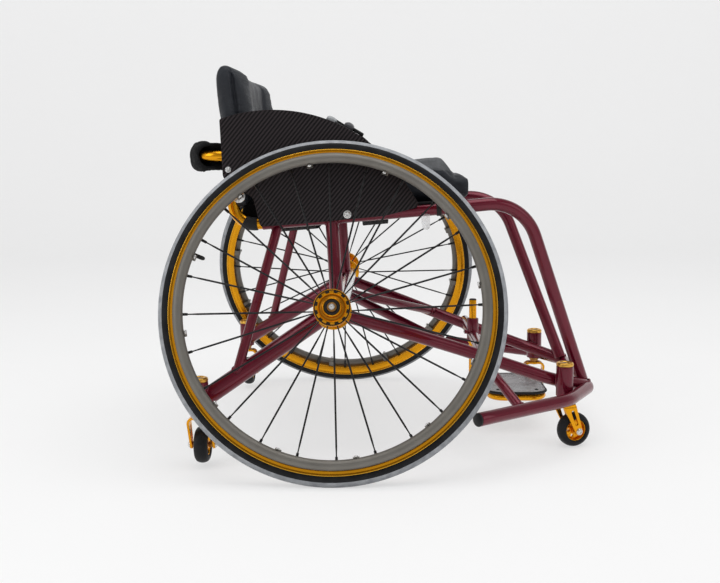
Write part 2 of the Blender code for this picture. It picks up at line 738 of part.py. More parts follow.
def make_casters():
    """Four casters. The turn of each about its stem is the one that it came to rest at."""
    fork = make_fork()
    tyre, hub = make_caster_wheel()
    cap = [
        (0, 0.0065),
        (0.0060, 0.0065),
        (0.0068, CASTER_CAP_H),
        (0.0130, CASTER_CAP_H),
        (HOUSING_R - 0.0004, 0.0055),
        (HOUSING_R, GAP),
        (0, GAP),
    ]
    cap = turned("caster_cap", cap, 10)
    spots = (
        ("front_right", FRONT_CASTER, -1, CROWN_FRONT, FRONT_HOUSING_TOP, 20),
        ("front_left", FRONT_CASTER, 1, CROWN_FRONT, FRONT_HOUSING_TOP, 90),
        ("rear_right", REAR_CASTER, -1, CROWN_REAR, REAR_HOUSING_TOP, 90),
        ("rear_left", REAR_CASTER, 1, CROWN_REAR, REAR_HOUSING_TOP, 90),
    )
    for name, (x, y), side, crown, top, turn in spots:
        swivel = bpy.data.objects.new("swivel_" + name, None)
        PARTS.objects.link(swivel)
        swivel.parent = CHAIR
        swivel.location = (x, side * y, crown)
        swivel.rotation_euler.z = math.radians(turn)
        place(bpy.data.objects.new("caster_fork_" + name, fork.data), GOLD, swivel)
        for label, source, material in (("tyre", tyre, TYRE), ("hub", hub, GOLD)):
            obj = bpy.data.objects.new("caster_" + label + "_" + name, source.data)
            place(obj, material, swivel)
            obj.location = (TRAIL, 0, -FORK_DROP)
        obj = place(bpy.data.objects.new("caster_cap_" + name, cap.data), GOLD)
        obj.location = (x, side * y, top)
    for source in (fork, tyre, hub, cap):
        bpy.data.objects.remove(source, do_unlink=True)


def make_footrest():
    """Height post with its loop, the plate on it, and the cross tube and sleeve that hold the post."""
    _, reach, height = beside(LOWER_ROUTE, POST_X, 0.004, 0.0085)
    cross = [Vector((POST_X, -reach, height)), Vector((POST_X, reach, height))]
    clamp = height + 0.0072
    carrier = joined(
        swept("footrest_carrier", cross, CROSS_D / 2),
        [
            rod("sleeve", (POST_X, 0, height - SLEEVE_DOWN), (POST_X, 0, height + SLEEVE_UP), SLEEVE_R, 16),
            rod("clamp", (POST_X - 0.019, -0.004, clamp), (POST_X - POST_R, -0.004, clamp), CLAMP_R, 8),
        ],
        [rod("bore", (POST_X, 0, 0.1), (POST_X, 0, 0.3), POST_R + RUNNING, 12)],
    )
    place(carrier, BURGUNDY)
    for end in ("right", "left"):
        mitre(carrier, "lower_side_tube_" + end)

    foot = LOOP_Z + LOOP_R - POST_R
    post = rounded(
        [(POST_X, 0, height + POST_UP), (POST_X, 0, foot), (LOOP_X[0] + 0.003, 0, foot)],
        (0.0235,),
        math.radians(18),
    )
    near, far = LOOP_X
    corners = [(far, 0), (far, LOOP_Y), (near, LOOP_Y), (near, -LOOP_Y), (far, -LOOP_Y), (far, 0)]
    loop = rounded([(x, y, LOOP_Z) for x, y in corners], (0.030,) * 4, math.radians(24))[:-1]
    stand = joined(swept("footrest_post", post, POST_R), [swept("loop", loop, LOOP_R, 8, True)])
    place(stand, GOLD)

    x0, x1, y1 = near - PLATE_EDGE, far + PLATE_EDGE, LOOP_Y + PLATE_EDGE
    r = PLATE_CORNER
    outline = [
        *arc((x1 - r, y1 - r), r, 0, 90, 5),
        *arc((x0 + r, y1 - r), r, 90, 180, 5),
        *arc((x0 + r, r - y1), r, 180, 270, 5),
        *arc((x1 - r, r - y1), r, 270, 360, 5),
    ]
    footplate = plate("footplate", outline, PLATE_T, centre=(0, 0, PLATE_Z + PLATE_T / 2))
    place(footplate, PLATE)


def make_back():
    """Back canes with the stubs of the rear bow, the bow's padded sleeve, and the padded back."""
    for side in (-1, 1):
        end = side_name(side)

        def at(x, y, z):
            return Vector((x, side * y, z))

        low = at(RAIL_REAR_X - GAP, RAIL_Y, RAIL_REAR_Z)
        knee = at(CANE_X + 0.0105, RAIL_Y - 0.002, RAIL_REAR_Z - 0.004)
        top = at(CANE_X, RAIL_Y - CANE_IN, RAIL_REAR_Z + CANE_RISE)
        cane = rounded([low, knee, top], (0.042,), math.radians(18))
        bow = rounded(
            [at(CANE_X + 0.0055, BOW_Y, BOW_Z), at(BOW_X, BOW_Y, BOW_Z), at(BOW_X, BOW_END_Y, BOW_Z)],
            (0.060,),
            math.radians(18),
        )
        ROUTES["cane_" + end] = (cane, CANE_R, 12)
        ROUTES["bow_" + end] = (bow, CANE_R, 12)
        stub = swept("bow", bow, CANE_R)
        back_cane = place(joined(swept("back_cane_" + end, cane, CANE_R), [stub]), GOLD)
        mitre(back_cane, "seat_tube_" + end)

    deep, tall = BOW_PAD
    route = rounded(
        [
            Vector((BOW_X + 0.048, -BOW_Y, BOW_Z)),
            Vector((BOW_X, -BOW_Y, BOW_Z)),
            Vector((BOW_X, BOW_Y, BOW_Z)),
            Vector((BOW_X + 0.048, BOW_Y, BOW_Z)),
        ],
        (0.0395, 0.0395),
        math.radians(20),
    )
    sleeve = swept("rear_bow_pad", route, deep, 10)
    for vertex in sleeve.data.vertices:
        drawn = 1 - 0.25 * max(0, (abs(vertex.co.y) - BOW_PAD_WIDE) / (BOW_Y - BOW_PAD_WIDE))
        vertex.co.z = BOW_Z + (vertex.co.z - BOW_Z) * drawn * tall / deep
    place(sleeve, FABRIC)
    mitre(sleeve, "bow_right", "bow_left")

    back = soft_block("back_upholstery", (3, 4 * CHANNELS, 5), back_shape)
    place(back, LEATHER)
    mitre(back, "cane_right", "cane_left", "bow_right", "bow_left")


def soft_block(name, cuts, shape_of):
    """A cube divided into a grid, with each point moved to where shape_of puts it."""
    shape = bmesh.new()
    bmesh.ops.create_cube(shape, size=2)
    for axis, count in enumerate(cuts):
        along = []
        for edge in shape.edges:
            step = edge.verts[0].co - edge.verts[1].co
            if abs(step[axis]) > 0.5 * step.length:
                along.append(edge)
        bmesh.ops.subdivide_edges(shape, edges=along, cuts=count - 1, use_grid_fill=True)
    for vertex in shape.verts:
        vertex.co = shape_of(*vertex.co)
    bmesh.ops.recalc_face_normals(shape, faces=shape.faces)
    mesh = bpy.data.meshes.new(name)
    shape.to_mesh(mesh)
    shape.free()
    mesh.shade_smooth()
    return bpy.data.objects.new(name, mesh)


def softened(a, b, power):
    """Two coordinates from -1 to 1, drawn in towards a rounded square."""
    size = (abs(a) ** power + abs(b) ** power) ** (1 / power)
    if size == 0:
        return a, b
    most = max(abs(a), abs(b))
    return a * most / size, b * most / size


def back_shape(a, b, c):
    """Padded back: vertical channels across Y, a rounded top, and a front drawn forward at the sides."""
    lift = max(0.0, c)
    a_top = a * (1 - 0.55 * lift**6)
    channel = abs(math.sin(math.pi * (b + 1) / 2 * CHANNELS))
    puff = 0.0045 * channel**0.6 * (1 - lift**8)
    edge = 1 - 0.30 * abs(b) ** 12
    middle = (BACK_FRONT + BACK_REAR) / 2
    half = (BACK_FRONT - BACK_REAR) / 2 - 0.0045
    x = middle + (half + puff) * a_top * edge + 0.010 * b * b - 0.004
    y = BACK_HALF * b * (1 - 0.02 * lift**4)
    top = BACK_TOP - 0.010 * (1 - channel**0.5) - 0.012 * abs(b) ** 10
    z = BACK_LOW + (top - BACK_LOW) * (c + 1) / 2
    return Vector((x, y, z))


def sling_drop(y):
    """How far the sling hangs below the tops of the rails at a distance from the middle."""
    return SLING_SAG * max(0.0, 1 - (y / RAIL_Y) ** 2)


def cushion_shape(a, b, c):
    """Seat cushion: crowned top, drawn-in sides, a lower roll in front and a base that fits the sling."""
    half_length = (CUSHION_FRONT - CUSHION_REAR) / 2
    blend = min(1.0, max(0.0, (CUSHION_REAR + half_length * (a + 1) - ROLL_X) / 0.018))
    top = CUSHION_TOP + (ROLL_TOP - CUSHION_TOP) * blend
    crown = 0.006 * (1 - b * b) * (1 - blend)
    a_round, c_round = softened(a, c, 9)
    b_round, c_round = softened(b, c_round, 7)
    drawn = 1 - 0.020 * (1 - c * c) * (1 - abs(a) ** 6) - 0.04 * abs(a) ** 8
    x = CUSHION_REAR + half_length * (a_round + 1)
    y = CUSHION_HALF * b_round * drawn
    bottom = rail_z(x) + FRAME_D / 2 + SLING_T + 2 * GAP - sling_drop(y)
    share = 1 + (c if c < 0 else c_round)
    return Vector((x, y, bottom + (top - bottom) / 2 * share + crown * max(0.0, c)))


def strip(name, section, xs, rise, thickness):
    """A sheet of even thickness: a section in YZ carried along X, lifted by rise(x, height)."""
    mesh = bpy.data.meshes.new(name)
    shape = bmesh.new()
    rows = [[shape.verts.new((x, y, z + rise(x, z))) for y, z in section] for x in xs]
    for row, after in zip(rows, rows[1:]):
        for quad in zip(row, row[1:], after[1:], after):
            shape.faces.new(quad)
    bmesh.ops.recalc_face_normals(shape, faces=shape.faces)
    shape.to_mesh(mesh)
    shape.free()
    obj = bpy.data.objects.new(name, mesh)
    bpy.context.scene.collection.objects.link(obj)
    wall = obj.modifiers.new("wall", "SOLIDIFY")
    wall.thickness = thickness
    wall.offset = 0
    wall.use_even_offset = True
    return settle(obj)


def make_seat():
    """Sling over the rails, cushion, lap belt and side guards."""
    wrap = FRAME_D / 2 + GAP + SLING_T / 2
    turns = [math.radians(k) for k in (55, 72, 90)]
    over = [(RAIL_Y + wrap * math.cos(a), wrap * math.sin(a)) for a in turns]
    middle = [(y, wrap - sling_drop(y)) for y in (RAIL_Y * k / 4 for k in (3, 2, 1))]
    half = over + middle
    section = half + [(0, wrap - SLING_SAG)] + [(-y, z) for y, z in reversed(half)]
    sling = strip("seat_sling", section, SLING_X, lambda x, z: rail_z(x), SLING_T)
    place(sling, FABRIC)

    cushion = soft_block("seat_cushion", (10, 8, 4), cushion_shape)
    place(cushion, LEATHER)

    foot = rail_z(BELT_X) + FRAME_D / 2 + SLING_T + 2 * GAP - sling_drop(BELT_Y)
    sides = [(0, -BELT_Y, foot), (0, -BELT_Y, BELT_TOP), (0, BELT_Y, BELT_TOP), (0, BELT_Y, foot)]
    path = rounded(sides, (BELT_BEND, BELT_BEND), math.radians(15))

    def lean(x, z):
        """Level with the rail at the foot, tipped forward over the lap."""
        share = min(1.0, (z - foot) / (BELT_TOP - foot - BELT_BEND))
        return (x - BELT_X) * (RAIL_SLOPE - (RAIL_SLOPE + BELT_TILT) * share)

    xs = (BELT_X - BELT_W / 2, BELT_X + BELT_W / 2)
    belt = strip("lap_belt", [(p.y, p.z) for p in path], xs, lean, BELT_T)
    place(belt, FABRIC)

    for side in (-1, 1):
        make_guard(side)


def make_guard(side):
    """Carbon side guard with its two bolts and their spacers. Heights are above the rear of the rail."""
    end = side_name(side)
    outline = [
        (-0.212, 0.0885),
        *through((-0.212, 0.2000), (-0.1, 0.2160), (0.0665, 0.1555), 9),
        *through((0.0665, 0.1555), (0.108, 0.1165), (0.140, 0.0725), 3)[1:],
        (0.1585, 0.0375),
        (0.1560, 0.0295),
        (0.098, 0.0135),
        (-0.065, -0.0005),
        (-0.1425, -0.0055),
        (-0.155, 0.0501),
    ]
    middle = side * (GUARD_Y + GUARD_T / 2)
    sheet = plate("side_guard_" + end, outline, GUARD_T, "XZ", (0, middle, RAIL_REAR_Z))
    head = side * (GUARD_Y + GUARD_T + 0.0025)
    adds = []
    for (x, up), inner in ((RAIL_BOLT, RAIL_Y), (BACK_BOLT, RAIL_Y - 0.0055)):
        z = RAIL_REAR_Z + up
        adds.append(rod("bolt", (x, head, z), (x, side * inner, z), GUARD_BOLT_R, 10))
    guard = place(joined(sheet, adds), CARBON)
    mitre(guard, "seat_tube_" + end, "cane_" + end)

    x, z = BACK_BOLT[0], RAIL_REAR_Z + BACK_BOLT[1]
    bolt = [Vector((x, side * (GUARD_Y + GUARD_T), z)), Vector((x, side * (RAIL_Y - 0.032), z))]
    ROUTES["back_bolt_" + end] = (bolt, GUARD_BOLT_R, 10)
    mitre(bpy.data.objects["back_upholstery"], "back_bolt_" + end)


make_frame()
make_wheels()
make_casters()
make_footrest()
make_back()
make_seat()
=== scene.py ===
"""Looks of a cambered court wheelchair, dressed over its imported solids.

Lengths are in metres. +X points forward, +Y to the sitter's left and +Z up. Shapes are worked out with X
measured from the plane of both hub centres, and pushed back by HUB_X when they become a mesh.
"""

import math

import bmesh
import bpy
import numpy as np
from mathutils import Matrix, Vector


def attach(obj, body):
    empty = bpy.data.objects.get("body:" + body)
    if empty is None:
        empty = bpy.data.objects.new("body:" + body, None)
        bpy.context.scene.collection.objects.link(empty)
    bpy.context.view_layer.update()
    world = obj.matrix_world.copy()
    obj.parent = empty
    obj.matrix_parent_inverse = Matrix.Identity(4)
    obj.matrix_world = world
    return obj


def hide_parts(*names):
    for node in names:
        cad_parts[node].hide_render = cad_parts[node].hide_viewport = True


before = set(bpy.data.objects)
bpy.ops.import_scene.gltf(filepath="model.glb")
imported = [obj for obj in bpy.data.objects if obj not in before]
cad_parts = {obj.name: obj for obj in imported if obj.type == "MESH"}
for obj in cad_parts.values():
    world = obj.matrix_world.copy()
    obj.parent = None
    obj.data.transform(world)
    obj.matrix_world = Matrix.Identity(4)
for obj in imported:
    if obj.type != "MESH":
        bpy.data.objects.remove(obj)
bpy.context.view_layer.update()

HUB_X = (0.320 - 0.5146 - 0.0127) / 2
CAMBER = math.radians(16.42)
WHEEL_R, TYRE_R = 0.320, 0.0125
RAIL_Y, RAIL_REAR_Z, RAIL_SLOPE = 0.232, 0.4585, 0.0315 / 0.416
HUB_Y = RAIL_Y + 0.0411 + (WHEEL_R - TYRE_R) * math.sin(CAMBER)
HUB_Z = (WHEEL_R - TYRE_R) * math.cos(CAMBER) + TYRE_R
RIM_R, RIM_IN, RIM_HALF = 0.3008, 0.284, 0.0105
PUSHRIM_R, PUSHRIM_OUT, PUSHRIM_TUBE = 0.2818, 0.0190, 0.0095
TUBE, BRACE_R, REAR_R, HOUSING_R, CANE_R = 0.0127, 0.0095, 0.0170, 0.0172, 0.0110
CAMBER_X, CAMBER_Z, CAMBER_R = 0.014, HUB_Z - 0.0075, 0.0135
CAMBER_HALF = HUB_Y - 0.060
REAR_CASTER, FRONT_CASTER = (-0.2533, HUB_Y - 0.018), (0.456, 0.200)
SIDES = {"right": -1, "left": 1}
TURN = 2 * math.pi
SIDEWAYS, UPRIGHT = (0, 1, 0), (0, 0, 1)
shift = Matrix.Translation


# Surfaces. A surface is (points, faces, corner uv, finish number), and a piece joins several.


def unit(vectors):
    return vectors / np.linalg.norm(vectors, axis=-1, keepdims=True)


def directions(angle):
    return np.stack([np.cos(angle), np.sin(angle)], -1)


def circle(count):
    return directions(np.linspace(0, TURN, count, endpoint=False))


def ray(angle):
    return np.array([math.cos(angle), math.sin(angle), 0])


def lengths(line):
    """Distance along a line at each of its points."""
    return np.concatenate([[0], np.cumsum(np.linalg.norm(np.diff(line, axis=0), axis=1))])


def ramp(value, start, width):
    """Rises from 0 to 1 over a width, or falls over a negative one."""
    return np.clip((value - start) / width, 0, 1)


def lattice(x, y, z):
    """A grid of points from coordinates that spread over its rows and columns."""
    return np.stack(np.broadcast_arrays(x, y, z), -1)


def turned_over(faces, uv):
    """The same faces in the other winding, with their corners' places on the map."""
    ends = np.cumsum([len(face) for face in faces])
    order = np.concatenate([np.arange(end - len(face), end)[::-1] for face, end in zip(faces, ends)])
    return [face[::-1] for face in faces], uv[order]


def skin(points, round_u=False, round_v=False, caps=False, u=None, v=None, finish=0):
    """Quads over a grid of points (rows v, columns u), closed round u or v if asked, with flat ends.

    A closed form whose summed volume is negative is turned over, so that it looks outwards."""
    rows, cols = points.shape[:2]
    r, c = np.meshgrid(np.arange(rows - (not round_v)), np.arange(cols - (not round_u)), indexing="ij")
    r1, c1 = (r + 1) % rows, (c + 1) % cols
    quads = np.stack([r * cols + c, r * cols + c1, r1 * cols + c1, r1 * cols + c], -1).reshape(-1, 4)
    u = np.linspace(0, 1, cols + round_u) if u is None else u
    v = np.linspace(0, 1, rows + round_v) if v is None else v
    uv = np.stack([u[c], v[r], u[c + 1], v[r], u[c + 1], v[r + 1], u[c], v[r + 1]], -1).reshape(-1, 2)
    flat, faces, ends = points.reshape(-1, 3), quads.tolist(), []
    if caps:
        ends = [list(range(cols))[::-1], [(rows - 1) * cols + k for k in range(cols)]]
        uv = np.vstack([uv, *((flat[loop] - flat[loop].mean(0))[:, :2] for loop in ends)])
    closed = round_v or caps or np.ptp(points[0], axis=0).max() + np.ptp(points[-1], axis=0).max() < 1e-9
    if round_u and closed:
        a, b, d, e = (flat[quads[:, k]] for k in range(4))
        volume = (a * np.cross(b, d)).sum() + (a * np.cross(d, e)).sum()
        for fan in (flat[loop] for loop in ends):
            volume += (fan[0] * np.cross(fan[1:-1], fan[2:])).sum()
        if volume < 0:
            return flat, *turned_over(faces + ends, uv), finish
    return flat, faces + ends, uv, finish


def moved(surface, matrix, finish=None):
    """The surface at another place. A mirrored place turns its faces over, so that they look outwards."""
    points, faces, uv, number = surface
    m = np.array(matrix, float)
    if np.linalg.det(m[:3, :3]) < 0:
        faces, uv = turned_over(faces, uv)
    return points @ m[:3, :3].T + m[:3, 3], faces, uv, number if finish is None else finish


def sheet_wall(middle, thickness, u=None, v=None):
    """Closed wall round a grid: each point moved half a thickness to both sides along the grid's normal."""
    across = np.cross(np.gradient(middle, axis=1), np.gradient(middle, axis=0))
    normal = unit(across) * thickness / 2
    top, low = middle + normal, middle - normal
    edges = [np.stack([top[k], low[k]]) for k in (0, -1, np.s_[:, 0], np.s_[:, -1])]
    return [skin(top, u=u, v=v), skin(low, u=u, v=v), *map(skin, edges)]


def weld_points(mesh, distance, turn_out):
    shape = bmesh.new()
    shape.from_mesh(mesh)
    bmesh.ops.remove_doubles(shape, verts=shape.verts, dist=distance)
    bmesh.ops.dissolve_degenerate(shape, edges=shape.edges, dist=distance)
    if turn_out:
        bmesh.ops.recalc_face_normals(shape, faces=shape.faces)
    shape.to_mesh(mesh)
    shape.free()


def piece(
    name, surfaces, finishes, body, covers=None, at=None, crease=38, doubles=1e-6, patched=False
):
    """Joins surfaces into one mesh at its place in the chair, which rides on a body and covers a CAD node.

    A form that is patched from several grids has its faces turned outwards once its seams are closed."""
    if at is not None:
        surfaces = [moved(surface, at) for surface in surfaces]
    faces, index, base = [], [], 0
    for part_points, part_faces, _, number in surfaces:
        faces += [[k + base for k in face] for face in part_faces]
        index += [number] * len(part_faces)
        base += len(part_points)
    points = np.vstack([surface[0] for surface in surfaces]) + [HUB_X, 0, 0]
    mesh = bpy.data.meshes.new(name)
    mesh.from_pydata(points.tolist(), [], faces)
    uvs = np.vstack([surface[2] for surface in surfaces])
    mesh.uv_layers.new(name="metres").data.foreach_set("uv", uvs.astype(np.float32).ravel())
    for made in finishes:
        mesh.materials.append(made)
    mesh.polygons.foreach_set("material_index", index)
    obj = bpy.data.objects.new(name, mesh)
    bpy.context.scene.collection.objects.link(obj)
    weld_points(mesh, doubles, patched)
    mesh.shade_smooth()
    mesh.set_sharp_from_angle(angle=math.radians(crease))
    if body:
        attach(obj, body)
    if covers:
        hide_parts(covers)
    return obj


def bent(corners, radii, step=5):
    """A line through corners with a circular bend at each inner one: corner + r (sin a, 1 - cos a)."""
    corners = np.array(corners, float)
    path = [corners[:1]]
    for before, corner, after, radius in zip(corners, corners[1:], corners[2:], radii):
        into, out = unit(corner - before), unit(after - corner)
        turn = math.acos(np.clip(into @ out, -1, 1))
        normal = (out - into * math.cos(turn)) / math.sin(turn)
        start = corner - into * radius * math.tan(turn / 2)
        a = np.linspace(0, turn, max(3, math.ceil(math.degrees(turn) / step)))[:, None]
        path.append(start + radius * (np.sin(a) * into + (1 - np.cos(a)) * normal))
    return np.vstack([*path, corners[-1:]])


def spaced(path, step):
    """The same line with points no further apart than a step."""
    path = np.array(path, float)
    along = lengths(path)
    even = np.linspace(0, along[-1], max(2, math.ceil(along[-1] / step)))
    at = np.unique(np.concatenate([along, even]).round(7))
    return np.stack([np.interp(at, along, path[:, k]) for k in range(3)], -1)


def frames_along(path, up, loop=False):
    """Tangent, side and rise of a line at each of its points, kept upright to one direction."""
    ahead = np.roll(path, -1, 0) - np.roll(path, 1, 0) if loop else np.gradient(path, axis=0)
    tangent = unit(ahead)
    side = unit(np.cross(tangent, np.array(up, float)))
    return tangent, side, np.cross(side, tangent)


def rings(side, rise, count, flat=1.0):
    """Circles of unit radius across a line: cos a side + flat sin a rise."""
    a = np.linspace(0, TURN, count, endpoint=False)[:, None]
    return np.cos(a) * side[:, None] + flat * np.sin(a) * rise[:, None]


def bar(path, radius, sides=32, up=UPRIGHT, edge=0.0006, finish=0, flat=1.0):
    """Round bar: path + r (cos a side + flat sin a rise), with ends eased by a small quarter round."""
    path = np.array(path, float)
    radius = np.broadcast_to(np.asarray(radius, float), len(path))
    tangent, side, rise = frames_along(path, up)
    cut = np.array([1.0, 0.5, 0.134, 0.0]) * edge
    lead, tail = path[0] + tangent[0] * cut[::-1, None], path[-1] - tangent[-1] * cut[:, None]
    line = np.vstack([lead, path[1:-1], tail])
    wide = np.concatenate([radius[0] - cut, radius[1:-1], radius[-1] - cut[::-1]])
    side, rise = (np.vstack([[way[0]] * 4, way[1:-1], [way[-1]] * 4]) for way in (side, rise))
    points = line[:, None] + wide[:, None, None] * rings(side, rise, sides, flat)
    u = np.linspace(0, TURN * wide.max(), sides + 1)
    return skin(points, True, False, True, u, lengths(line), finish)


def hoop(path, radius, sides, finish=0):
    """Round bar along a closed line."""
    _, side, rise = frames_along(path, UPRIGHT, True)
    return skin(path[:, None] + radius * rings(side, rise, sides), True, True, finish=finish)


def eased(profile, ease, closed=True, steps=3):
    """A flat outline with each corner replaced by a small arc, a quadratic curve from side to side."""
    p = np.array(profile, float)
    ways = np.roll(p, 1, 0) - p, np.roll(p, -1, 0) - p
    far = [np.linalg.norm(way, axis=1) for way in ways]
    reach = np.minimum(ease, 0.45 * np.minimum(*far))
    if not closed:
        reach[[0, -1]] = 0
    start, end = (p + w / np.maximum(f, 1e-12)[:, None] * reach[:, None] for w, f in zip(ways, far))
    t = np.linspace(0, 1, steps + 1)[None, :, None]
    arcs = (1 - t) ** 2 * start[:, None] + 2 * t * (1 - t) * p[:, None] + t**2 * end[:, None]
    flat = arcs.reshape(-1, 2)
    keep = np.linalg.norm(flat - np.roll(flat, 1, 0), axis=1) > 1e-7
    keep[0] = True
    return flat[keep]


def turned(profile, steps, at=None, closed=True, finish=0):
    """Turned form: (radius, height) carried round Z."""
    profile = np.array(profile, float)
    radius, height = profile[:, :1], np.repeat(profile[:, 1:], steps, 1)
    a = np.linspace(0, TURN, steps, endpoint=False)
    points = np.stack([radius * np.cos(a), radius * np.sin(a), height], -1)
    u = np.linspace(0, TURN * radius.max(), steps + 1)
    v = lengths(np.vstack([profile, profile[:1]]) if closed else profile)
    made = skin(points, True, closed, False, u, v, finish)
    return made if at is None else moved(made, at)


def lathed(profile, ease, steps, at=None, finish=0):
    """Turned form from an open profile that starts and ends on the axis, with its corners eased."""
    return turned(eased(profile, ease, False), steps, at, False, finish)


def doubled(half, stop=None):
    """A profile and its mirror image. A stop of 0 leaves out the image of the first point."""
    return half + [(r, -z) for r, z in half[:stop:-1]]


def drawn_in(line, draw, height):
    """Rows of a flat outline, each moved inwards along its own normals and set at a height."""
    along = unit(np.roll(line, -1, 0) - np.roll(line, 1, 0))
    rows = line + np.stack([-along[:, 1], along[:, 0]], -1) * draw[:, None, None]
    return np.concatenate([rows, np.broadcast_to(height[:, None, None], (*rows.shape[:2], 1))], -1)


def quarter(edge, count):
    """Steps of a quarter round: how far each lies from the side and from the face."""
    a = np.radians(np.linspace(0, 90, count))
    return edge * (1 - np.sin(a)), edge * (1 - np.cos(a))


def slab(outline, thickness, edge, at, finish=0):
    """Flat sheet: its outline drawn in along its own normals by a quarter round at each face."""
    p = np.array(outline, float)
    area = (p[:, 0] * np.roll(p[:, 1], -1) - p[:, 1] * np.roll(p[:, 0], -1)).sum()
    down, up = quarter(edge, 4)
    rise = np.concatenate([-thickness / 2 + up, thickness / 2 - up[::-1]])
    points = drawn_in(p, np.sign(area) * np.concatenate([down, down[::-1]]), rise)
    return moved(skin(points, True, False, True, finish=finish), at)


def pierced(outer, inner, thickness, edge):
    """Flat sheet with a hole: a loop of rows from the outer edge over one face, down the hole and back."""
    down, up = quarter(edge, 3)
    low, high = -thickness / 2 + up, thickness / 2 - up
    rows = [drawn_in(outer, down, low), drawn_in(outer, down[::-1], high[::-1])]
    rows += [drawn_in(inner, -down, high), drawn_in(inner, -down[::-1], low[::-1])]
    return skin(np.concatenate(rows), True, True)


def seat(origin, axis, across=(1, 0, 0)):
    """Matrix that puts local Z along an axis at an origin, with local X as near as it can to a direction."""
    z = unit(np.array(axis, float))
    x = np.array(across, float)
    x = unit(x - z * (x @ z))
    m = np.eye(4)
    m[:3, 0], m[:3, 1], m[:3, 2], m[:3, 3] = x, np.cross(z, x), z, origin
    return m


def bead(near, toward, near_r, hub_at, hub_along, hub_r, width=0.0019):
    """Weld bead: where lines on the wall of one tube first meet the wall of another, with a fine ripple."""
    p, d = np.array(near, float), unit(np.array(toward, float) - near)
    q, e = np.array(hub_at, float), unit(np.array(hub_along, float))
    side = unit(np.cross(d, e))
    rise = np.cross(side, d)
    a = np.linspace(0, TURN, 144, endpoint=False)[:, None]
    radial = np.cos(a) * side + np.sin(a) * rise
    start = p + near_r * radial
    w = start - q
    w_flat, d_flat = w - (w @ e)[:, None] * e, d - (d @ e) * e
    aa = d_flat @ d_flat
    bb = 2 * (w_flat @ d_flat)
    cc = (w_flat**2).sum(1) - hub_r**2
    t = (-bb - np.sqrt(np.maximum(bb**2 - 4 * aa * cc, 0))) / (2 * aa)
    line = start + t[:, None] * d
    tangent = unit(np.roll(line, -1, 0) - np.roll(line, 1, 0))
    out = unit(radial - (radial * tangent).sum(1, keepdims=True) * tangent)
    swell = width * (1 + 0.10 * np.sin(36 * a[:, 0]))
    return skin(line[:, None] + swell[:, None, None] * rings(out, np.cross(tangent, out), 10), True, True)


def dome_screw(at, way, head, height, socket, finish=1, across=(1, 0, 0)):
    """Button-head screw turned on its own axis, with a six-sided recess: r = s / cos(a mod 60 - 30)."""
    top = [(head, 0), (head * 0.98, height * 0.35), (head * 0.85, height * 0.75), (head * 0.62, height)]
    rim = [
        (socket * 1.12, height), (socket, height * 0.95), (socket * 0.98, height * 0.45), (0, height * 0.35)
    ]
    points, *rest = turned([(0, -0.0004), (head, -0.0004)] + top + rim, 36, None, False, finish)
    angle = np.arctan2(points[:, 1], points[:, 0])
    six = 0.92 / np.cos((angle % math.radians(60)) - math.radians(30))
    inner = np.hypot(points[:, 0], points[:, 1]) < socket * 1.05
    points[inner, :2] *= six[inner, None]
    return moved((points, *rest), seat(at, way, across))


# Shader nodes


class Nodes:
    """A node tree under way. Inputs are given as values or as other nodes' sockets."""

    def __init__(self, tree):
        self.tree = tree

    def fill(self, made, inputs):
        for key, value in inputs.items():
            if isinstance(value, bpy.types.NodeSocket):
                self.tree.links.new(value, made.inputs[key])
            else:
                made.inputs[key].default_value = value
        return made.outputs

    def add(self, kind, inputs=None, **settings):
        made = self.tree.nodes.new("ShaderNode" + kind)
        for key, value in settings.items():
            setattr(made, key, value)
        return self.fill(made, inputs or {})

    def math(self, operation, *values):
        return self.add("Math", dict(enumerate(values)), operation=operation)[0]

    def ranged(self, value, low, high, to_low=0.0, to_high=1.0):
        ends = {"From Min": low, "From Max": high, "To Min": to_low, "To Max": to_high}
        return self.add("MapRange", {"Value": value, **ends})[0]

    def noise(self, vector, scale, detail, distortion=0.0):
        inputs = {"Vector": vector, "Scale": scale, "Detail": detail, "Distortion": distortion}
        return self.add("TexNoise", inputs)

    def blend(self, factor, first, second):
        return self.add("Mix", {0: factor, 2: first, 3: second}, data_type="FLOAT")[0]

    def mix(self, factor, *colours):
        first, second = (c if isinstance(c, bpy.types.NodeSocket) else (*c, 1) for c in colours)
        return self.add("Mix", {0: factor, 6: first, 7: second}, data_type="RGBA")[2]

    def seen_by(self, *kinds):
        """Mask of the rays of any of these kinds."""
        path = self.add("LightPath")
        mask = path[f"Is {kinds[0]} Ray"]
        for kind in kinds[1:]:
            mask = self.math("MAXIMUM", mask, path[f"Is {kind} Ray"])
        return mask


class Group(Nodes):
    """A shared effect, which puts out only masks and heights that change over the surface."""

    def __init__(self, name, outputs, **inputs):
        super().__init__(bpy.data.node_groups.new(name, "ShaderNodeTree"))
        add = self.tree.interface.new_socket
        add(name="Vector", in_out="INPUT", socket_type="NodeSocketVector")
        for label, value in inputs.items():
            add(name=label, in_out="INPUT", socket_type="NodeSocketFloat").default_value = value
        for label in outputs:
            add(name=label, in_out="OUTPUT", socket_type="NodeSocketFloat")
        self.given = self.tree.nodes.new("NodeGroupInput").outputs
        self.out = self.tree.nodes.new("NodeGroupOutput")

    def done(self, **outputs):
        self.fill(self.out, outputs)
        return self.tree


def make_cloud_group():
    """Noise spread into a mask between two levels, for shade, handling marks and dust."""
    g = Group("handling_cloud", ["Mask"], Scale=20.0, Detail=6.0, Low=0.35, High=0.65)
    noise = g.noise(g.given["Vector"], g.given["Scale"], g.given["Detail"])[0]
    return g.done(Mask=g.ranged(noise, g.given["Low"], g.given["High"]))


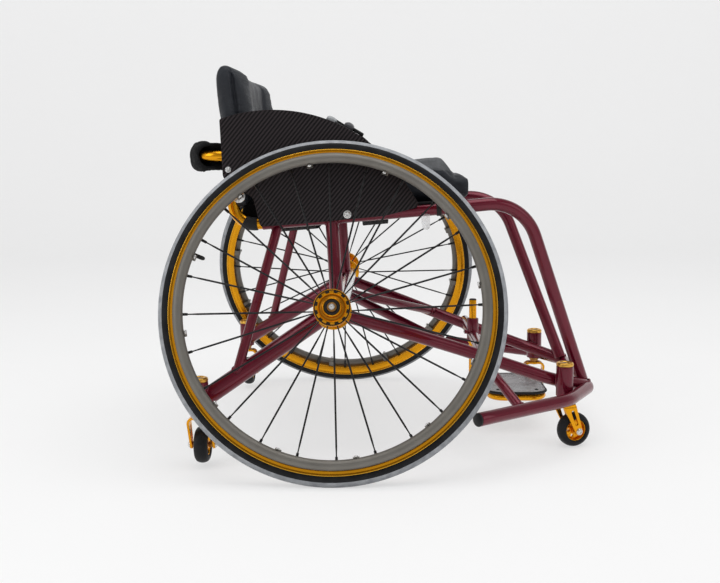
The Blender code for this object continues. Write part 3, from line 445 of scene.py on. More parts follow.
def make_edge_group():
    """Mask of convex edges, from the pointiness of the mesh, broken up by noise."""
    g = Group("worn_edge", ["Mask"], Scale=180.0, Low=0.52, High=0.60)
    edge = g.ranged(g.add("NewGeometry")["Pointiness"], g.given["Low"], g.given["High"])
    broken = g.ranged(g.noise(g.given["Vector"], g.given["Scale"], 4.0)[0], 0.35, 0.60)
    return g.done(Mask=g.math("MULTIPLY", edge, broken))


def make_leather_group():
    """Pebbled grain: rounded cells with fine creases, as a height."""
    g = Group("leather_grain", ["Height"], Scale=700.0, Crease=0.5)
    warp = g.noise(g.given["Vector"], 220.0, 3.0)["Color"]
    push = g.add("VectorMath", {0: warp, 1: (0.0022, 0.0022, 0.0022)}, operation="MULTIPLY")[0]
    bent_by = g.add("VectorMath", {0: g.given["Vector"], 1: push}, operation="ADD")[0]
    cells = g.add("TexVoronoi", {"Vector": bent_by, "Scale": g.given["Scale"]}, feature="DISTANCE_TO_EDGE")
    raised = g.ranged(cells["Distance"], 0.0, 0.22)
    fold = g.noise(g.given["Vector"], 38.0, 5.0, 0.8)[0]
    return g.done(Height=g.math("ADD", raised, g.math("MULTIPLY", fold, g.given["Crease"])))


def in_steps(group, length, step):
    """The two first coordinates counted in steps: vector length / step."""
    scale = group.math("DIVIDE", length, group.given[step])
    scaled = group.add("VectorMath", {0: group.given["Vector"], "Scale": scale}, operation="SCALE")[0]
    return group.add("SeparateXYZ", {0: scaled})[:2]


def make_twill_group():
    """Two-by-two twill: each tow shows where (i + j) mod 4 < 2, with the tow's own round back as height."""
    g = Group("twill_weave", ["Warp", "Height", "Fibre"], Tow=0.002)
    x, y = in_steps(g, 1.0, "Tow")
    crossing = g.math("ADD", g.math("FLOOR", x), g.math("FLOOR", y))
    warp = g.math("LESS_THAN", g.math("FLOORED_MODULO", crossing, 4.0), 1.5)
    round_x, round_y = (g.math("SINE", g.math("MULTIPLY", g.math("FRACT", s), math.pi)) for s in (x, y))
    fibre = g.math("SINE", g.math("MULTIPLY", g.blend(warp, y, x), 60.0))
    return g.done(Warp=warp, Height=g.blend(warp, round_y, round_x), Fibre=fibre)


def make_plain_weave_group():
    """Plain weave of fine yarn, with |sin x sin y| as its height."""
    g = Group("plain_weave", ["Height"], Yarn=0.0006)
    waves = (g.math("SINE", s) for s in in_steps(g, math.pi, "Yarn"))
    return g.done(Height=g.math("ABSOLUTE", g.math("MULTIPLY", *waves)))


CLOUD, WORN, GRAIN = make_cloud_group(), make_edge_group(), make_leather_group()
TWILL, WEAVE = make_twill_group(), make_plain_weave_group()


class Finish(Nodes):
    """A material under way: its tree, its shader and the coordinates that its patterns read."""

    def __init__(self, name, roughness, metallic=0.0, **constants):
        self.made = bpy.data.materials.new(name)
        self.made.use_nodes = True
        super().__init__(self.made.node_tree)
        self.shader = self.tree.nodes["Principled BSDF"]
        self.give(Roughness=roughness, Metallic=metallic, **constants)
        where = self.add("TexCoord")
        self.place, self.uv, self.relief = where["Object"], where["UV"], {}

    def give(self, **inputs):
        self.fill(self.shader, {key.replace("_", " "): value for key, value in inputs.items()})

    def group(self, tree, **inputs):
        return self.add("Group", inputs, node_tree=tree)

    def cloud(self, scale, detail, low=0.3, high=0.7, vector=None):
        vector = self.place if vector is None else vector
        return self.group(CLOUD, Vector=vector, Scale=scale, Detail=detail, Low=low, High=high)[0]

    def stretched(self, vector, *factors):
        return self.add("Mapping", {0: vector, 3: factors})[0]

    def rough(self, factor, low, high):
        self.give(Roughness=self.ranged(factor, 0.0, 1.0, low, high))

    def bump(self, height, strength, distance):
        """Relief from a height, laid over the relief given before."""
        inputs = {"Height": height, "Strength": strength, "Distance": distance}
        self.relief = {"Normal": self.add("Bump", {**inputs, **self.relief})[0]}
        self.give(**self.relief)


def times(factor, colour):
    return tuple(factor * c for c in colour)


def make_enamel():
    """Burgundy enamel with fine flake under a clear coat that has a slight orange peel."""
    f = Finish("burgundy_enamel", 0.30, 0.50, Coat_Weight=0.62, Coat_Roughness=0.03, Specular_IOR_Level=0.2)
    flake = f.cloud(2600.0, 1.0, 0.40, 0.72)
    deep = f.mix(f.cloud(9.0, 3.0), (0.084, 0.0010, 0.0100), (0.112, 0.0016, 0.0135))
    f.give(Base_Color=f.mix(flake, deep, (0.190, 0.0036, 0.0240)))
    f.bump(f.cloud(420.0, 2.0, 0.2, 0.8), 0.06, 0.0004)
    f.rough(flake, 0.34, 0.24)
    return f.made


def make_gold(name, roughness, brushed=False, tone=(0.80, 0.350, 0.013)):
    """Gold anodised metal: satin, a little deeper in patches, bare and pale where its edges are worn."""
    f = Finish(name, roughness, 1.0)
    tint = f.cloud(32.0, 5.0)
    edge = f.group(WORN, Vector=f.place, Scale=260.0, Low=0.56, High=0.70)[0]
    f.give(Base_Color=f.mix(edge, f.mix(tint, times(0.90, tone), times(1.06, tone)), (0.86, 0.62, 0.22)))
    if brushed:
        lines = f.cloud(1.0, 4.0, 0.2, 0.8, f.stretched(f.uv, 60.0, 9000.0, 1.0))
        f.bump(lines, 0.10, 0.0002)
        f.rough(lines, roughness - 0.06, roughness + 0.08)
    else:
        f.bump(f.cloud(1500.0, 2.0, 0.2, 0.8), 0.015, 0.0002)
        f.rough(tint, roughness - 0.04, roughness + 0.05)
    return f.made


def make_metal(name, dark, light, roughness, stretch=(60.0, 6000.0), strength=0.06):
    """Bare or grey metal with drawn lines along it and faint handling marks."""
    f = Finish(name, roughness, 1.0)
    f.give(Base_Color=f.mix(f.cloud(24.0, 6.0), dark, light))
    lines = f.cloud(1.0, 4.0, 0.2, 0.8, f.stretched(f.uv, *stretch, 1.0))
    f.rough(lines, roughness - 0.05, roughness + 0.07)
    f.bump(lines, strength, 0.0002)
    return f.made


def make_black(name, shade, roughness, speck=900.0, strength=0.10):
    """Black or grey moulded plastic or rubber with a fine spark-eroded grain."""
    f = Finish(name, roughness, Specular_IOR_Level=0.35)
    tint = f.cloud(60.0, 5.0)
    f.give(Base_Color=f.mix(tint, times(0.8, shade), times(1.25, shade)))
    f.bump(f.cloud(speck, 2.0, 0.2, 0.8), strength, 0.0003)
    f.rough(tint, roughness - 0.05, roughness + 0.06)
    return f.made


def make_tyre_wall():
    """Black side wall with fine moulded rings and patches of dust. V runs round the section."""
    f = Finish("tyre_wall", 0.55, Specular_IOR_Level=0.22)
    dust = f.cloud(45.0, 7.0, 0.42, 0.75)
    f.give(Base_Color=f.mix(dust, (0.0065, 0.0066, 0.0076), (0.0150, 0.0152, 0.0170)))
    f.bump(f.cloud(700.0, 2.0, 0.2, 0.8), 0.10, 0.0003)
    section = f.add("SeparateXYZ", {0: f.uv})[1]
    f.bump(f.math("SINE", f.math("MULTIPLY", section, 5200.0)), 0.16, 0.0003)
    f.rough(dust, 0.48, 0.66)
    return f.made


def make_tread():
    """Pale grey tread: fine crossed file marks, scuffed and a little dirty."""
    f = Finish("tyre_tread", 0.72)
    scuff = f.cloud(70.0, 8.0, 0.36, 0.70)
    f.give(Base_Color=f.mix(scuff, (0.235, 0.245, 0.262), (0.355, 0.368, 0.388)))
    u, v, _ = f.add("SeparateXYZ", {0: f.uv})
    slants = (f.math(way, u, f.math("MULTIPLY", v, 1.4)) for way in ("ADD", "SUBTRACT"))
    marks = (f.math("SINE", f.math("MULTIPLY", slant, 2300.0)) for slant in slants)
    f.bump(scuff, 0.25, 0.0005)
    f.bump(f.math("MAXIMUM", *marks), 0.35, 0.0004)
    f.rough(scuff, 0.80, 0.62)
    return f.made


def make_leather():
    """Black coated leather: pebbled grain, soft folds, and a low sheen where it is rubbed."""
    f = Finish("black_leather", 0.44, Specular_IOR_Level=0.28)
    rub = f.cloud(16.0, 6.0, 0.35, 0.70)
    f.give(Base_Color=f.mix(rub, (0.0128, 0.0146, 0.0192), (0.0190, 0.0222, 0.0292)))
    f.rough(rub, 0.50, 0.36)
    f.bump(f.cloud(1.0, 4.0, 0.30, 0.75, f.stretched(f.place, 60.0, 60.0, 150.0)), 0.45, 0.0012)
    f.bump(f.group(GRAIN, Vector=f.place, Scale=760.0, Crease=0.9)[0], 0.30, 0.0006)
    return f.made


def make_fabric(name, shade, yarn):
    """Plain woven nylon that reads the piece's own map, darkened in the hollows between its yarns as painted
    shade.
    """
    f = Finish(name, 0.86, Sheen_Weight=0.03, Sheen_Roughness=0.5, Specular_IOR_Level=0.10)
    height = f.group(WEAVE, Vector=f.uv, Yarn=yarn)[0]
    worn = f.mix(f.cloud(28.0, 6.0, 0.35, 0.70), times(0.8, shade), times(1.6, shade))
    # The weave's low points are darkened towards 0.45 of the shade: painted shade between the yarns.
    f.give(Base_Color=f.mix(height, times(0.45, shade), worn))
    f.bump(height, 0.55, 0.0004)
    return f.made


def make_carbon(tow=0.0022, turn=85.0):
    """Carbon twill in satin resin: tows across one another, each with its own sheen and fine fibres."""
    f = Finish("carbon_twill", 0.40, Coat_Weight=0.06, Coat_Roughness=0.20, Specular_IOR_Level=0.10)
    vector = f.add("Mapping", {0: f.uv, 2: (0.0, 0.0, math.radians(turn))})[0]
    cloth = f.group(TWILL, Vector=vector, Tow=tow)
    shade = f.mix(cloth["Warp"], (0.0026, 0.0020, 0.0024), (0.0420, 0.0345, 0.0370))
    haze = f.cloud(14.0, 4.0, 0.3, 0.75)
    f.give(Base_Color=f.mix(haze, shade, f.mix(0.20, shade, (0.014, 0.011, 0.012))))
    f.rough(cloth["Warp"], 0.50, 0.34)
    f.give(Metallic=f.ranged(cloth["Warp"], 0.0, 1.0, 0.0, 0.45))
    f.bump(cloth["Fibre"], 0.06, 0.0002)
    f.bump(cloth["Height"], 0.18, 0.0003)
    return f.made


def make_clear():
    """Clear plastic with a faint haze."""
    f = Finish("clear_plastic", 0.12, Transmission_Weight=0.9, IOR=1.45)
    haze = f.cloud(90.0, 4.0)
    f.give(Base_Color=f.mix(haze, (0.88, 0.89, 0.90), (0.97, 0.97, 0.98)))
    f.rough(haze, 0.08, 0.30)
    return f.made


ENAMEL = make_enamel()
GOLD = make_gold("gold_satin", 0.25)
GOLD_TURNED = make_gold("gold_turned", 0.26, True)
# A brighter copy of the gold for the beads along the rim's flanks: a painted highlight.
GOLD_PAINTED_HIGHLIGHT = make_gold("gold_painted_highlight", 0.22, False, (0.95, 0.50, 0.045))
# A darker copy of the gold for the hub's sloping dish: painted shade.
GOLD_PAINTED_SHADE = make_gold("gold_painted_shade", 0.36, True, (0.330, 0.135, 0.010))
BRONZE = make_gold("bronze_turned", 0.34, True, (0.40, 0.20, 0.06))
CAP_GOLD = make_gold("cap_gold", 0.30, True, (0.76, 0.42, 0.08))
POLISHED = make_metal("polished_tube", (0.80, 0.80, 0.81), (0.90, 0.90, 0.90), 0.16)
STEEL = make_metal("bright_screw", (0.62, 0.62, 0.62), (0.78, 0.78, 0.77), 0.22)
PUSHRIM = make_metal("titanium_rim", (0.212, 0.200, 0.180), (0.250, 0.237, 0.214), 0.58, (30.0, 2500.0), 0.03)
PLASTIC = make_black("black_plastic", (0.0065, 0.0065, 0.0072), 0.42)
RUBBER = make_black("black_rubber", (0.0085, 0.0085, 0.0095), 0.58, 500.0, 0.2)
SPOKE = make_black("black_spoke", (0.0060, 0.0060, 0.0068), 0.30, 1200.0, 0.03)
BUCKLE = make_black("grey_buckle", (0.30, 0.31, 0.32), 0.38)
BUCKLE_DARK = make_black("dark_buckle", (0.055, 0.055, 0.060), 0.36)
PLATE = make_black("grey_plate", (0.235, 0.235, 0.240), 0.26, 1500.0, 0.04)
WALL, TREAD = make_tyre_wall(), make_tread()
LEATHER, CARBON, CLEAR = make_leather(), make_carbon(), make_clear()
WEBBING = make_fabric("black_webbing", (0.0070, 0.0070, 0.0076), 0.0011)
NYLON = make_fabric("black_nylon", (0.0055, 0.0056, 0.0064), 0.0005)
GREY_CLOTH = make_fabric("grey_cloth", (0.130, 0.134, 0.141), 0.0006)


# The burgundy frame

BUMPER_LINE = ((0.2646, HUB_Y + 0.043, 0.110), (0.455, 0.256, 0.110), (0.5146, 0.145, 0.110))
LOWER_ROUTE = (
    (CAMBER_X + 0.004, CAMBER_HALF - 0.018, CAMBER_Z - 0.0155), (0.150, 0.238, 0.2385), (0.245, 0.208, 0.204),
    (0.430, 0.1855, 0.137), (0.508, 0.140, 0.114),
)
REAR_ROUTE = ((CAMBER_X - 0.006, RAIL_Y + 0.002, CAMBER_Z - 0.0033), (*REAR_CASTER, 0.1305))


def mirrored(points, side):
    return np.array(points, float) * [1, side, 1]


def rail_z(x):
    return RAIL_REAR_Z + RAIL_SLOPE * (x + 0.140)


def beside(route, x, out=0.0, up=0.0):
    """The point of a route at x, moved outwards and up."""
    line = np.array(sorted(route))
    return x, np.interp(x, line[:, 0], line[:, 1]) + out, np.interp(x, line[:, 0], line[:, 2]) + up


def enamelled(name, covers, *surfaces):
    piece(name, surfaces, [ENAMEL], "frame", covers)


def caster_housing(spot, low, top, side):
    """Turned housing of a caster stem: a plain barrel with eased lips."""
    wall = [(0, low), (HOUSING_R, low), (HOUSING_R, top), (0, top)]
    return lathed(wall, 0.0009, 64, shift((spot[0], side * spot[1], 0)))


def make_side_frame(end, side):
    """Rail, post, lower tube, rear tube, stay, brace and strut of one side, each with its weld beads."""
    rail = [(-0.140, RAIL_Y, RAIL_REAR_Z), (0.276, RAIL_Y, 0.490)]
    rail += [(0.369, 0.206, 0.497), (0.5056, 0.1274, 0.120)]
    rail = spaced(bent(mirrored(rail, side), (0.14, 0.105)), 0.03)
    rail_way = (1, 0, RAIL_SLOPE)
    enamelled("rail_" + end, "seat_tube_" + end, bar(rail, TUBE, 40, SIDEWAYS))

    post = [(-0.0055, RAIL_Y + 0.002, rail_z(-0.0055)), (CAMBER_X - 0.0105, RAIL_Y + 0.014, CAMBER_Z)]
    post = mirrored(post, side)
    enamelled(
        "post_" + end, "seat_post_" + end, bar(post, TUBE, 40, SIDEWAYS),
        bead(post[1], post[0], TUBE, post[0], rail_way, TUBE),
        bead(post[0], post[1], TUBE, (CAMBER_X, 0, CAMBER_Z), SIDEWAYS, CAMBER_R),
    )

    route, wing = mirrored(LOWER_ROUTE, side), mirrored(BUMPER_LINE, side)
    lower = bent(route, (0.5, 0.4, 0.10))
    front = (FRONT_CASTER[0], side * FRONT_CASTER[1], 0.106)
    close = lower[np.argmin(np.abs(lower[:, 0] - 0.425))]
    enamelled(
        "lower_tube_" + end, "lower_side_tube_" + end, bar(spaced(lower, 0.03), TUBE, 40, SIDEWAYS),
        caster_housing(FRONT_CASTER, 0.106, 0.166, side),
        bead(close - [0.06, 0, -0.023], close, TUBE, front, UPRIGHT, HOUSING_R),
        bead(lower[-2], lower[-1], TUBE, BUMPER_LINE[-1], SIDEWAYS, TUBE),
    )

    rear = mirrored(REAR_ROUTE, side)
    enamelled(
        "rear_tube_" + end, "rear_lower_tube_" + end, bar(rear, REAR_R, 48, SIDEWAYS),
        caster_housing(REAR_CASTER, 0.114, 0.170, side),
        bead(rear[0], rear[1], REAR_R, rear[1] * [1, 1, 0], UPRIGHT, HOUSING_R, 0.0016),
    )

    stay = mirrored([(-0.108, RAIL_Y, rail_z(-0.108)), beside(REAR_ROUTE, -0.187, 0.0065)], side)
    enamelled(
        "stay_" + end, "rear_stay_" + end, bar(stay, BRACE_R, 32, SIDEWAYS),
        bead(stay[1], stay[0], BRACE_R, stay[0], rail_way, TUBE),
        bead(stay[0], stay[1], BRACE_R, rear[1], rear[0] - rear[1], REAR_R, 0.0028),
    )

    brace = mirrored([(CAMBER_X, 0.010, CAMBER_Z - 0.0095), beside(LOWER_ROUTE, 0.212, -0.008, 0.002)], side)
    seam = bead(brace[0], brace[1], BRACE_R, brace[1], route[2] - route[1], TUBE)
    enamelled("brace_" + end, "v_brace_" + end, bar(brace, BRACE_R), seam)

    strut = mirrored([beside(LOWER_ROUTE, 0.283), (0.352, 0.3345, 0.110)], side)
    enamelled(
        "strut_" + end, "bumper_strut_" + end, bar(strut, BRACE_R),
        bead(strut[0], strut[1], BRACE_R, strut[1], wing[1] - wing[0], TUBE),
        bead(strut[1], strut[0], BRACE_R, strut[0], route[3] - route[2], TUBE),
    )

    back = unit(wing[0] - wing[1])
    cap = [(0, 0), (TUBE, 0), (TUBE, 0.0035), (0, 0.0043)]
    plug = lathed(cap, 0.0012, 48, seat(wing[0] + back * 0.0003, back))
    piece("tube_cap_" + end, [plug], [PLASTIC], "frame", "bumper_cap_" + end)


def make_bumper():
    """Front bumper: one tube from wing to wing, level all the way."""
    half = list(BUMPER_LINE)
    line = bent(half + [(x, -y, z) for x, y, z in reversed(half)], (0.10, 0.045, 0.045, 0.10))
    enamelled("bumper", "bumper_tube", bar(spaced(line, 0.03), TUBE, 40))


def make_camber_tube():
    """Polished cross tube, and at each end the plug that holds the axle at its camber."""
    def polished(name, covers, *surfaces):
        piece(name, surfaces, [POLISHED], "frame", covers)

    line = [(CAMBER_X, -CAMBER_HALF, CAMBER_Z), (CAMBER_X, CAMBER_HALF, CAMBER_Z)]
    polished("cross_axle", "camber_tube", bar(spaced(line, 0.05), CAMBER_R, 48))
    for end, side in SIDES.items():
        centre = np.array([0, side * HUB_Y, HUB_Z])
        out = np.array([0, side * math.cos(CAMBER), math.sin(CAMBER)])
        face = CAMBER_HALF + 0.0003
        disc = bar([(CAMBER_X, side * y, CAMBER_Z) for y in (face, face + 0.0077)], CAMBER_R, 48)
        barrel = bar([centre - out * 0.0343, centre - out * 0.056], 0.0125, 48, (1, 0, 0), 0.001)
        polished("camber_plug_cover_" + end, "camber_plug_" + end, disc, barrel)


# Wheels. Local Z is the axle, pointing outwards, and local X points forward.

WHEEL_STEPS = 240
TREAD_HALF, VALVE_ANGLE, SPOKE_PHASE = math.radians(70), math.radians(158), math.radians(1.5)
SPOKES, STRAPS, HUB_TEETH = 24, 12, 12


def make_tyre(end, at):
    """Tyre section: a circle round the bead, (R + r cos a, r sin a), from rim edge to rim edge.

    Tread and walls have their own finish."""
    middle, full = WHEEL_R - TYRE_R + 0.0003, TYRE_R + 0.0009
    meet = math.acos((RIM_R + 0.0003 - middle) / full)
    a = np.linspace(-meet, meet, 49)
    points, faces, uv, _ = turned([middle, 0] + full * directions(a), WHEEL_STEPS)
    on_tread = np.repeat(np.abs(np.append((a[:-1] + a[1:]) / 2, math.pi)) < TREAD_HALF, WHEEL_STEPS)
    surfaces = []
    for number, chosen in enumerate((~on_tread, on_tread)):
        kept = [face for face, keep in zip(faces, chosen) if keep]
        surfaces.append((points, kept, uv.reshape(-1, 4, 2)[chosen].reshape(-1, 2), number))
    name, covers = "tyre_cover_" + end, "tyre_" + end
    piece(name, surfaces, [WALL, TREAD], "wheel_" + end, covers, at, doubles=2e-6)


def make_rim(end, at):
    """Deep rim: flat side walls down to a shoulder, then a taper to the inner well, and a valve."""
    w = RIM_HALF
    half = [
        (RIM_R, w - 0.0032), (RIM_R - 0.0003, w - 0.0012), (0.2992, w), (0.2982, w - 0.0002),
        (0.2976, w - 0.0011), (0.2924, w - 0.0011), (RIM_IN + 0.0012, w * 0.62), (RIM_IN, w * 0.56),
    ]
    stem = [
        (0, 0), (0.0031, 0), (0.0031, 0.006), (0.0040, 0.0075), (0.0040, 0.026), (0.0024, 0.030), (0, 0.030)
    ]
    way = ray(VALVE_ANGLE)
    surfaces = [
        turned(eased(doubled(half), 0.0009), WHEEL_STEPS),
        lathed(stem, 0.0006, 24, seat(way * (RIM_IN + 0.002), -way, UPRIGHT), 1),
    ]
    # The round beads on both flanks are a brighter gold than the rim: a painted highlight along the rim's
    # edges.
    for flank in (w + 0.0004, -w - 0.0004):
        surfaces.append(turned([0.3004, flank] + 0.0012 * circle(10), WHEEL_STEPS, finish=2))
    finishes = [GOLD, PLASTIC, GOLD_PAINTED_HIGHLIGHT]
    piece("rim_cover_" + end, surfaces, finishes, "wheel_" + end, "rim_" + end, at)


def spoke(foot, head):
    """Bladed spoke: an oval section that flattens in mid-span, from the flange to a nipple at the rim."""
    share = np.array([0, 0.02, 0.08, 0.14, 0.5, 0.86, 0.90, 0.928, 0.930, 0.955, 1.0])
    wide = np.array([1.30, 1.30, 1.30, 1.75, 1.80, 1.75, 1.30, 1.30, 2.50, 2.70, 2.90]) * 0.001
    thin = np.array([1.30, 1.30, 1.30, 1.00, 0.95, 1.00, 1.30, 1.30, 2.50, 2.70, 2.90]) * 0.001
    line = foot + (head - foot) * share[:, None]
    along = unit(head - foot)
    side = unit(np.cross(along, [0, 0, 1.0]))
    c, s = circle(10).T[..., None]
    section = c * side * wide[:, None, None] + s * np.cross(side, along) * thin[:, None, None]
    return skin(line[:, None] + section, True, False, True, finish=1)


def wedge(inner, outer, middle, half_angle):
    """Outline of a tooth: a piece of a ring between two radii and two angles."""
    way = directions(np.linspace(middle - half_angle, middle + half_angle, 7))
    return eased(np.vstack([outer * way, inner * way[::-1]]), 0.0005, True, 2)


def make_hub(end, at):
    """Turned hub: dished face, bright lip, a ring of teeth with the spoke heads between them, and a seal."""
    face = [
        (0.0152, 0.0275), (0.0152, 0.0318), (0.0160, 0.0324), (0.0172, 0.0318), (0.0176, 0.0290),
        (0.0182, 0.0262), (0.0190, 0.0242), (0.0212, 0.0226), (0.0232, 0.0222), (0.0240, 0.0234),
        (0.0256, 0.0246), (0.0270, 0.0246), (0.0274, 0.0224), (0.0326, 0.0218), (0.0331, 0.0234),
        (0.0345, 0.0234), (0.0345, 0.0186), (0.0300, 0.0178), (0.0195, 0.0172), (0.0160, 0.0120),
        (0.0150, 0.0070), (0.0150, -0.0130), (0.0165, -0.0180), (0.0200, -0.0225), (0.0300, -0.0232),
        (0.0345, -0.0236), (0.0345, -0.0275), (0.0300, -0.0282), (0.0180, -0.0290), (0.0150, -0.0300),
        (0.0140, -0.0338), (0.0066, -0.0338), (0.0066, 0.0275),
    ]
    lips = [
        (0.0090, 0.0270), (0.0090, 0.0302), (0.0120, 0.0308), (0.0142, 0.0302), (0.0151, 0.0294),
        (0.0151, 0.0270),
    ]
    # The groove floor under the teeth is a black ring: painted shade and dirt in the groove.
    floor = [(0.0277, 0.0212), (0.0277, 0.0229), (0.0329, 0.0224), (0.0329, 0.0212)]
    # The sloping dish is in the darker gold: painted shade.
    dish = [
        (0.0178, 0.0262), (0.0184, 0.0246), (0.0212, 0.0230), (0.0238, 0.0227), (0.0238, 0.0212),
        (0.0178, 0.0220),
    ]
    surfaces = [
        turned(eased(face, 0.0005, True, 2), 240),
        turned(eased(lips, 0.0004), 96, finish=2),
        turned(eased(floor, 0.0003), 240, finish=1),
        turned(eased(dish, 0.0004), 240, finish=3),
    ]
    head = [(0, 0), (0.0024, 0), (0.0024, 0.0016), (0.0015, 0.0024), (0, 0.0024)]
    pitch = 360 / HUB_TEETH
    for k in range(HUB_TEETH):
        tooth = wedge(0.0262, 0.0309, SPOKE_PHASE + math.radians(pitch * k), math.radians(7.6))
        surfaces.append(slab(tooth, 0.0030, 0.0004, shift((0, 0, 0.0236))))
        way = ray(SPOKE_PHASE + math.radians(pitch / 2 + pitch * k))
        surfaces.append(lathed(head, 0.0004, 16, seat(way * 0.0293 + [0, 0, 0.0214], UPRIGHT, way), 1))
    for k in range(SPOKES):
        way = ray(SPOKE_PHASE + k * 2 * math.pi / SPOKES)
        flange = way * 0.0300 + [0, 0, 0.0205 if k % 2 else -0.0255]
        surfaces.append(spoke(flange, way * (RIM_IN + 0.001)))
    name, finishes = "hub_cover_" + end, [GOLD_TURNED, SPOKE, RUBBER, GOLD_PAINTED_SHADE]
    piece(name, surfaces, finishes, "wheel_" + end, "hub_" + end, at, doubles=1e-7)


def make_pushrim(end, at):
    """Push rim: a round hoop on twelve bent straps, each with a button-head screw.

    A strap is a width carried along a line that drops inside the hoop and then turns out to the rim."""
    surfaces = [turned([PUSHRIM_R, PUSHRIM_OUT] + PUSHRIM_TUBE * circle(24), WHEEL_STEPS)]
    line = bent([(0.2711, 0, 0.0245), (0.2711, 0, 0.0010), (0.2838, 0, -0.0010)], (0.0035,), 15)
    half = 0.006 * np.sqrt(np.clip(1 - (1 - np.clip(lengths(line) / 0.006, 0, 1)) ** 2, 0.05, 1))
    across = np.linspace(-1, 1, 9)
    grid = line[:, None] + half[:, None, None] * across[None, :, None] * np.array([0, 1.0, 0])
    strap_wall = sheet_wall(grid, 0.0022)
    for k in range(STRAPS):
        angle = math.radians(9 + 360 / STRAPS * k)
        surfaces += [moved(s, Matrix.Rotation(angle, 4, "Z")) for s in strap_wall]
        way = ray(angle)
        surfaces.append(dome_screw(way * 0.2700 + [0, 0, 0.0190], -way, 0.0040, 0.0022, 0.0018))
    name, covers = "pushrim_cover_" + end, "pushrim_" + end
    piece(name, surfaces, [PUSHRIM, STEEL], "wheel_" + end, covers, at, patched=True)


def make_axle(end, at):
    """Quick-release axle in bronze tone with its turned head, and the sprung button inside."""
    head = [
        (0, 0.0288), (0.0058, 0.0288), (0.0058, 0.0343), (0.0085, 0.0343), (0.0085, 0.0275),
        (0.00635, 0.0273), (0.00635, -0.0565), (0, -0.0565),
    ]
    body = lathed(head, 0.0004, 64)
    piece("axle_cover_" + end, [body], [BRONZE], "frame", "axle_" + end, at)
    low = 0.0320
    button = [
        (0, low), (0.0055, low), (0.0055, low + 0.0046), (0.0047, low + 0.0058), (0.0022, low + 0.0060),
        (0.0016, low + 0.0052), (0, low + 0.0050),
    ]
    name, covers = "button_cover_" + end, "release_button_" + end
    piece(name, [lathed(button, 0.0004, 48)], [STEEL], "button_" + end, covers, at)


# Casters. A fork's local Z is its swivel axis, from the top of its crown, and local X its trail.

TRAIL, DROP = 0.0215, 0.0605
FORK_HALF, FORK_T, FORK_FRONT, FORK_REAR, FORK_SHOULDER = 0.0240, 0.0048, 0.0155, -0.0125, -0.0120
CASTERS = (
    ("front_right", FRONT_CASTER, -1, 0.0955, 0.1660, 20),
    ("front_left", FRONT_CASTER, 1, 0.0955, 0.1660, 90),
    ("rear_right", REAR_CASTER, -1, 0.1035, 0.1700, 90),
    ("rear_left", REAR_CASTER, 1, 0.1035, 0.1700, 90),
)


def fork_sheets():
    """Middle surface of a folded fork: two legs, and the crown, a strip over both folds.

    Each leg is rows from its outline to the slot along its spine."""
    middle, fold = FORK_HALF - FORK_T / 2, 0.0096
    low, high = np.array([0.0155, -0.0440]), np.array([0.0065, -0.0200])
    foot = [TRAIL, -DROP] + 0.0080 * directions(np.radians(np.linspace(200, 380, 21)))
    top = np.stack([np.linspace(FORK_FRONT, FORK_REAR, 9), np.full(9, FORK_SHOULDER)], -1)
    share = np.linspace(0, 1, 14)[1:-1, None]
    sides = [start + (end - start) * share for start, end in ((top[-1], foot[0]), (foot[-1], top[0]))]
    outer = np.vstack([top, sides[0], foot, sides[1]])
    along = np.clip((outer - low) @ (high - low) / ((high - low) @ (high - low)), 0, 1)[:, None]
    spine = low + along * (high - low)
    inner = spine + 0.0033 * unit(outer - spine)
    rows = outer + (inner - outer) * np.linspace(0, 1, 5)[:, None, None]
    legs = [skin(lattice(rows[..., 0], side * middle, rows[..., 1]), True) for side in SIDES.values()]
    half = [0.0120, FORK_SHOULDER] + fold * directions(np.radians(np.linspace(0, 90, 7)))
    over = np.vstack([half, half[::-1] * [-1, 1]])
    front = FORK_FRONT - 0.0022 * (over[:, 1:] - FORK_SHOULDER) / fold
    x = front + (FORK_REAR - front) * np.linspace(0, 1, 9)
    return [*legs, skin(lattice(x, over[:, :1], over[:, 1:]))]


def make_fork(end, at):
    """Folded fork with its neck, spacers, washers and the button-head axle screw."""
    name, body, covers = "fork_cover_" + end, "fork_" + end, "caster_fork_" + end
    sheets = fork_sheets()
    plate = piece(name, sheets, [GOLD], body, covers, at, doubles=1e-5, patched=True)
    wall = plate.modifiers.new("wall", "SOLIDIFY")
    wall.thickness, wall.offset, wall.use_even_offset = FORK_T, 0, True
    rounded = plate.modifiers.new("rounded_edge", "BEVEL")
    rounded.width, rounded.segments, rounded.harden_normals = 0.0009, 2, True
    rounded.limit_method, rounded.angle_limit = "ANGLE", math.radians(40)

    collar = [
        (0, -0.0060), (0.0095, -0.0060), (0.0095, 0.0062), (0.0118, 0.0068), (0.0118, 0.0098),
        (0.0090, 0.0102), (0, 0.0102),
    ]
    shank = [(TRAIL, -0.0245, -DROP), (TRAIL, 0.0245, -DROP)]
    fittings = [lathed(collar, 0.0005, 48), bar(shank, 0.0040, 20, finish=1)]
    washer = [(0, 0.0239), (0.0068, 0.0239), (0.0068, 0.0248), (0, 0.0248)]
    spacer = [(0, 0.0113), (0.0046, 0.0113), (0.0058, 0.0132), (0.0058, 0.0195), (0, 0.0195)]
    for side in SIDES.values():
        way = (0, side, 0)
        spot = seat((TRAIL, 0, -DROP), way)
        fittings += [lathed(washer, 0.0003, 32, spot, 1), lathed(spacer, 0.0004, 32, spot)]
        fittings.append(dome_screw((TRAIL, side * 0.0246, -DROP), way, 0.0060, 0.0034, 0.0028))
    piece("fork_fittings_" + end, fittings, [BRONZE, STEEL], body, at=at)


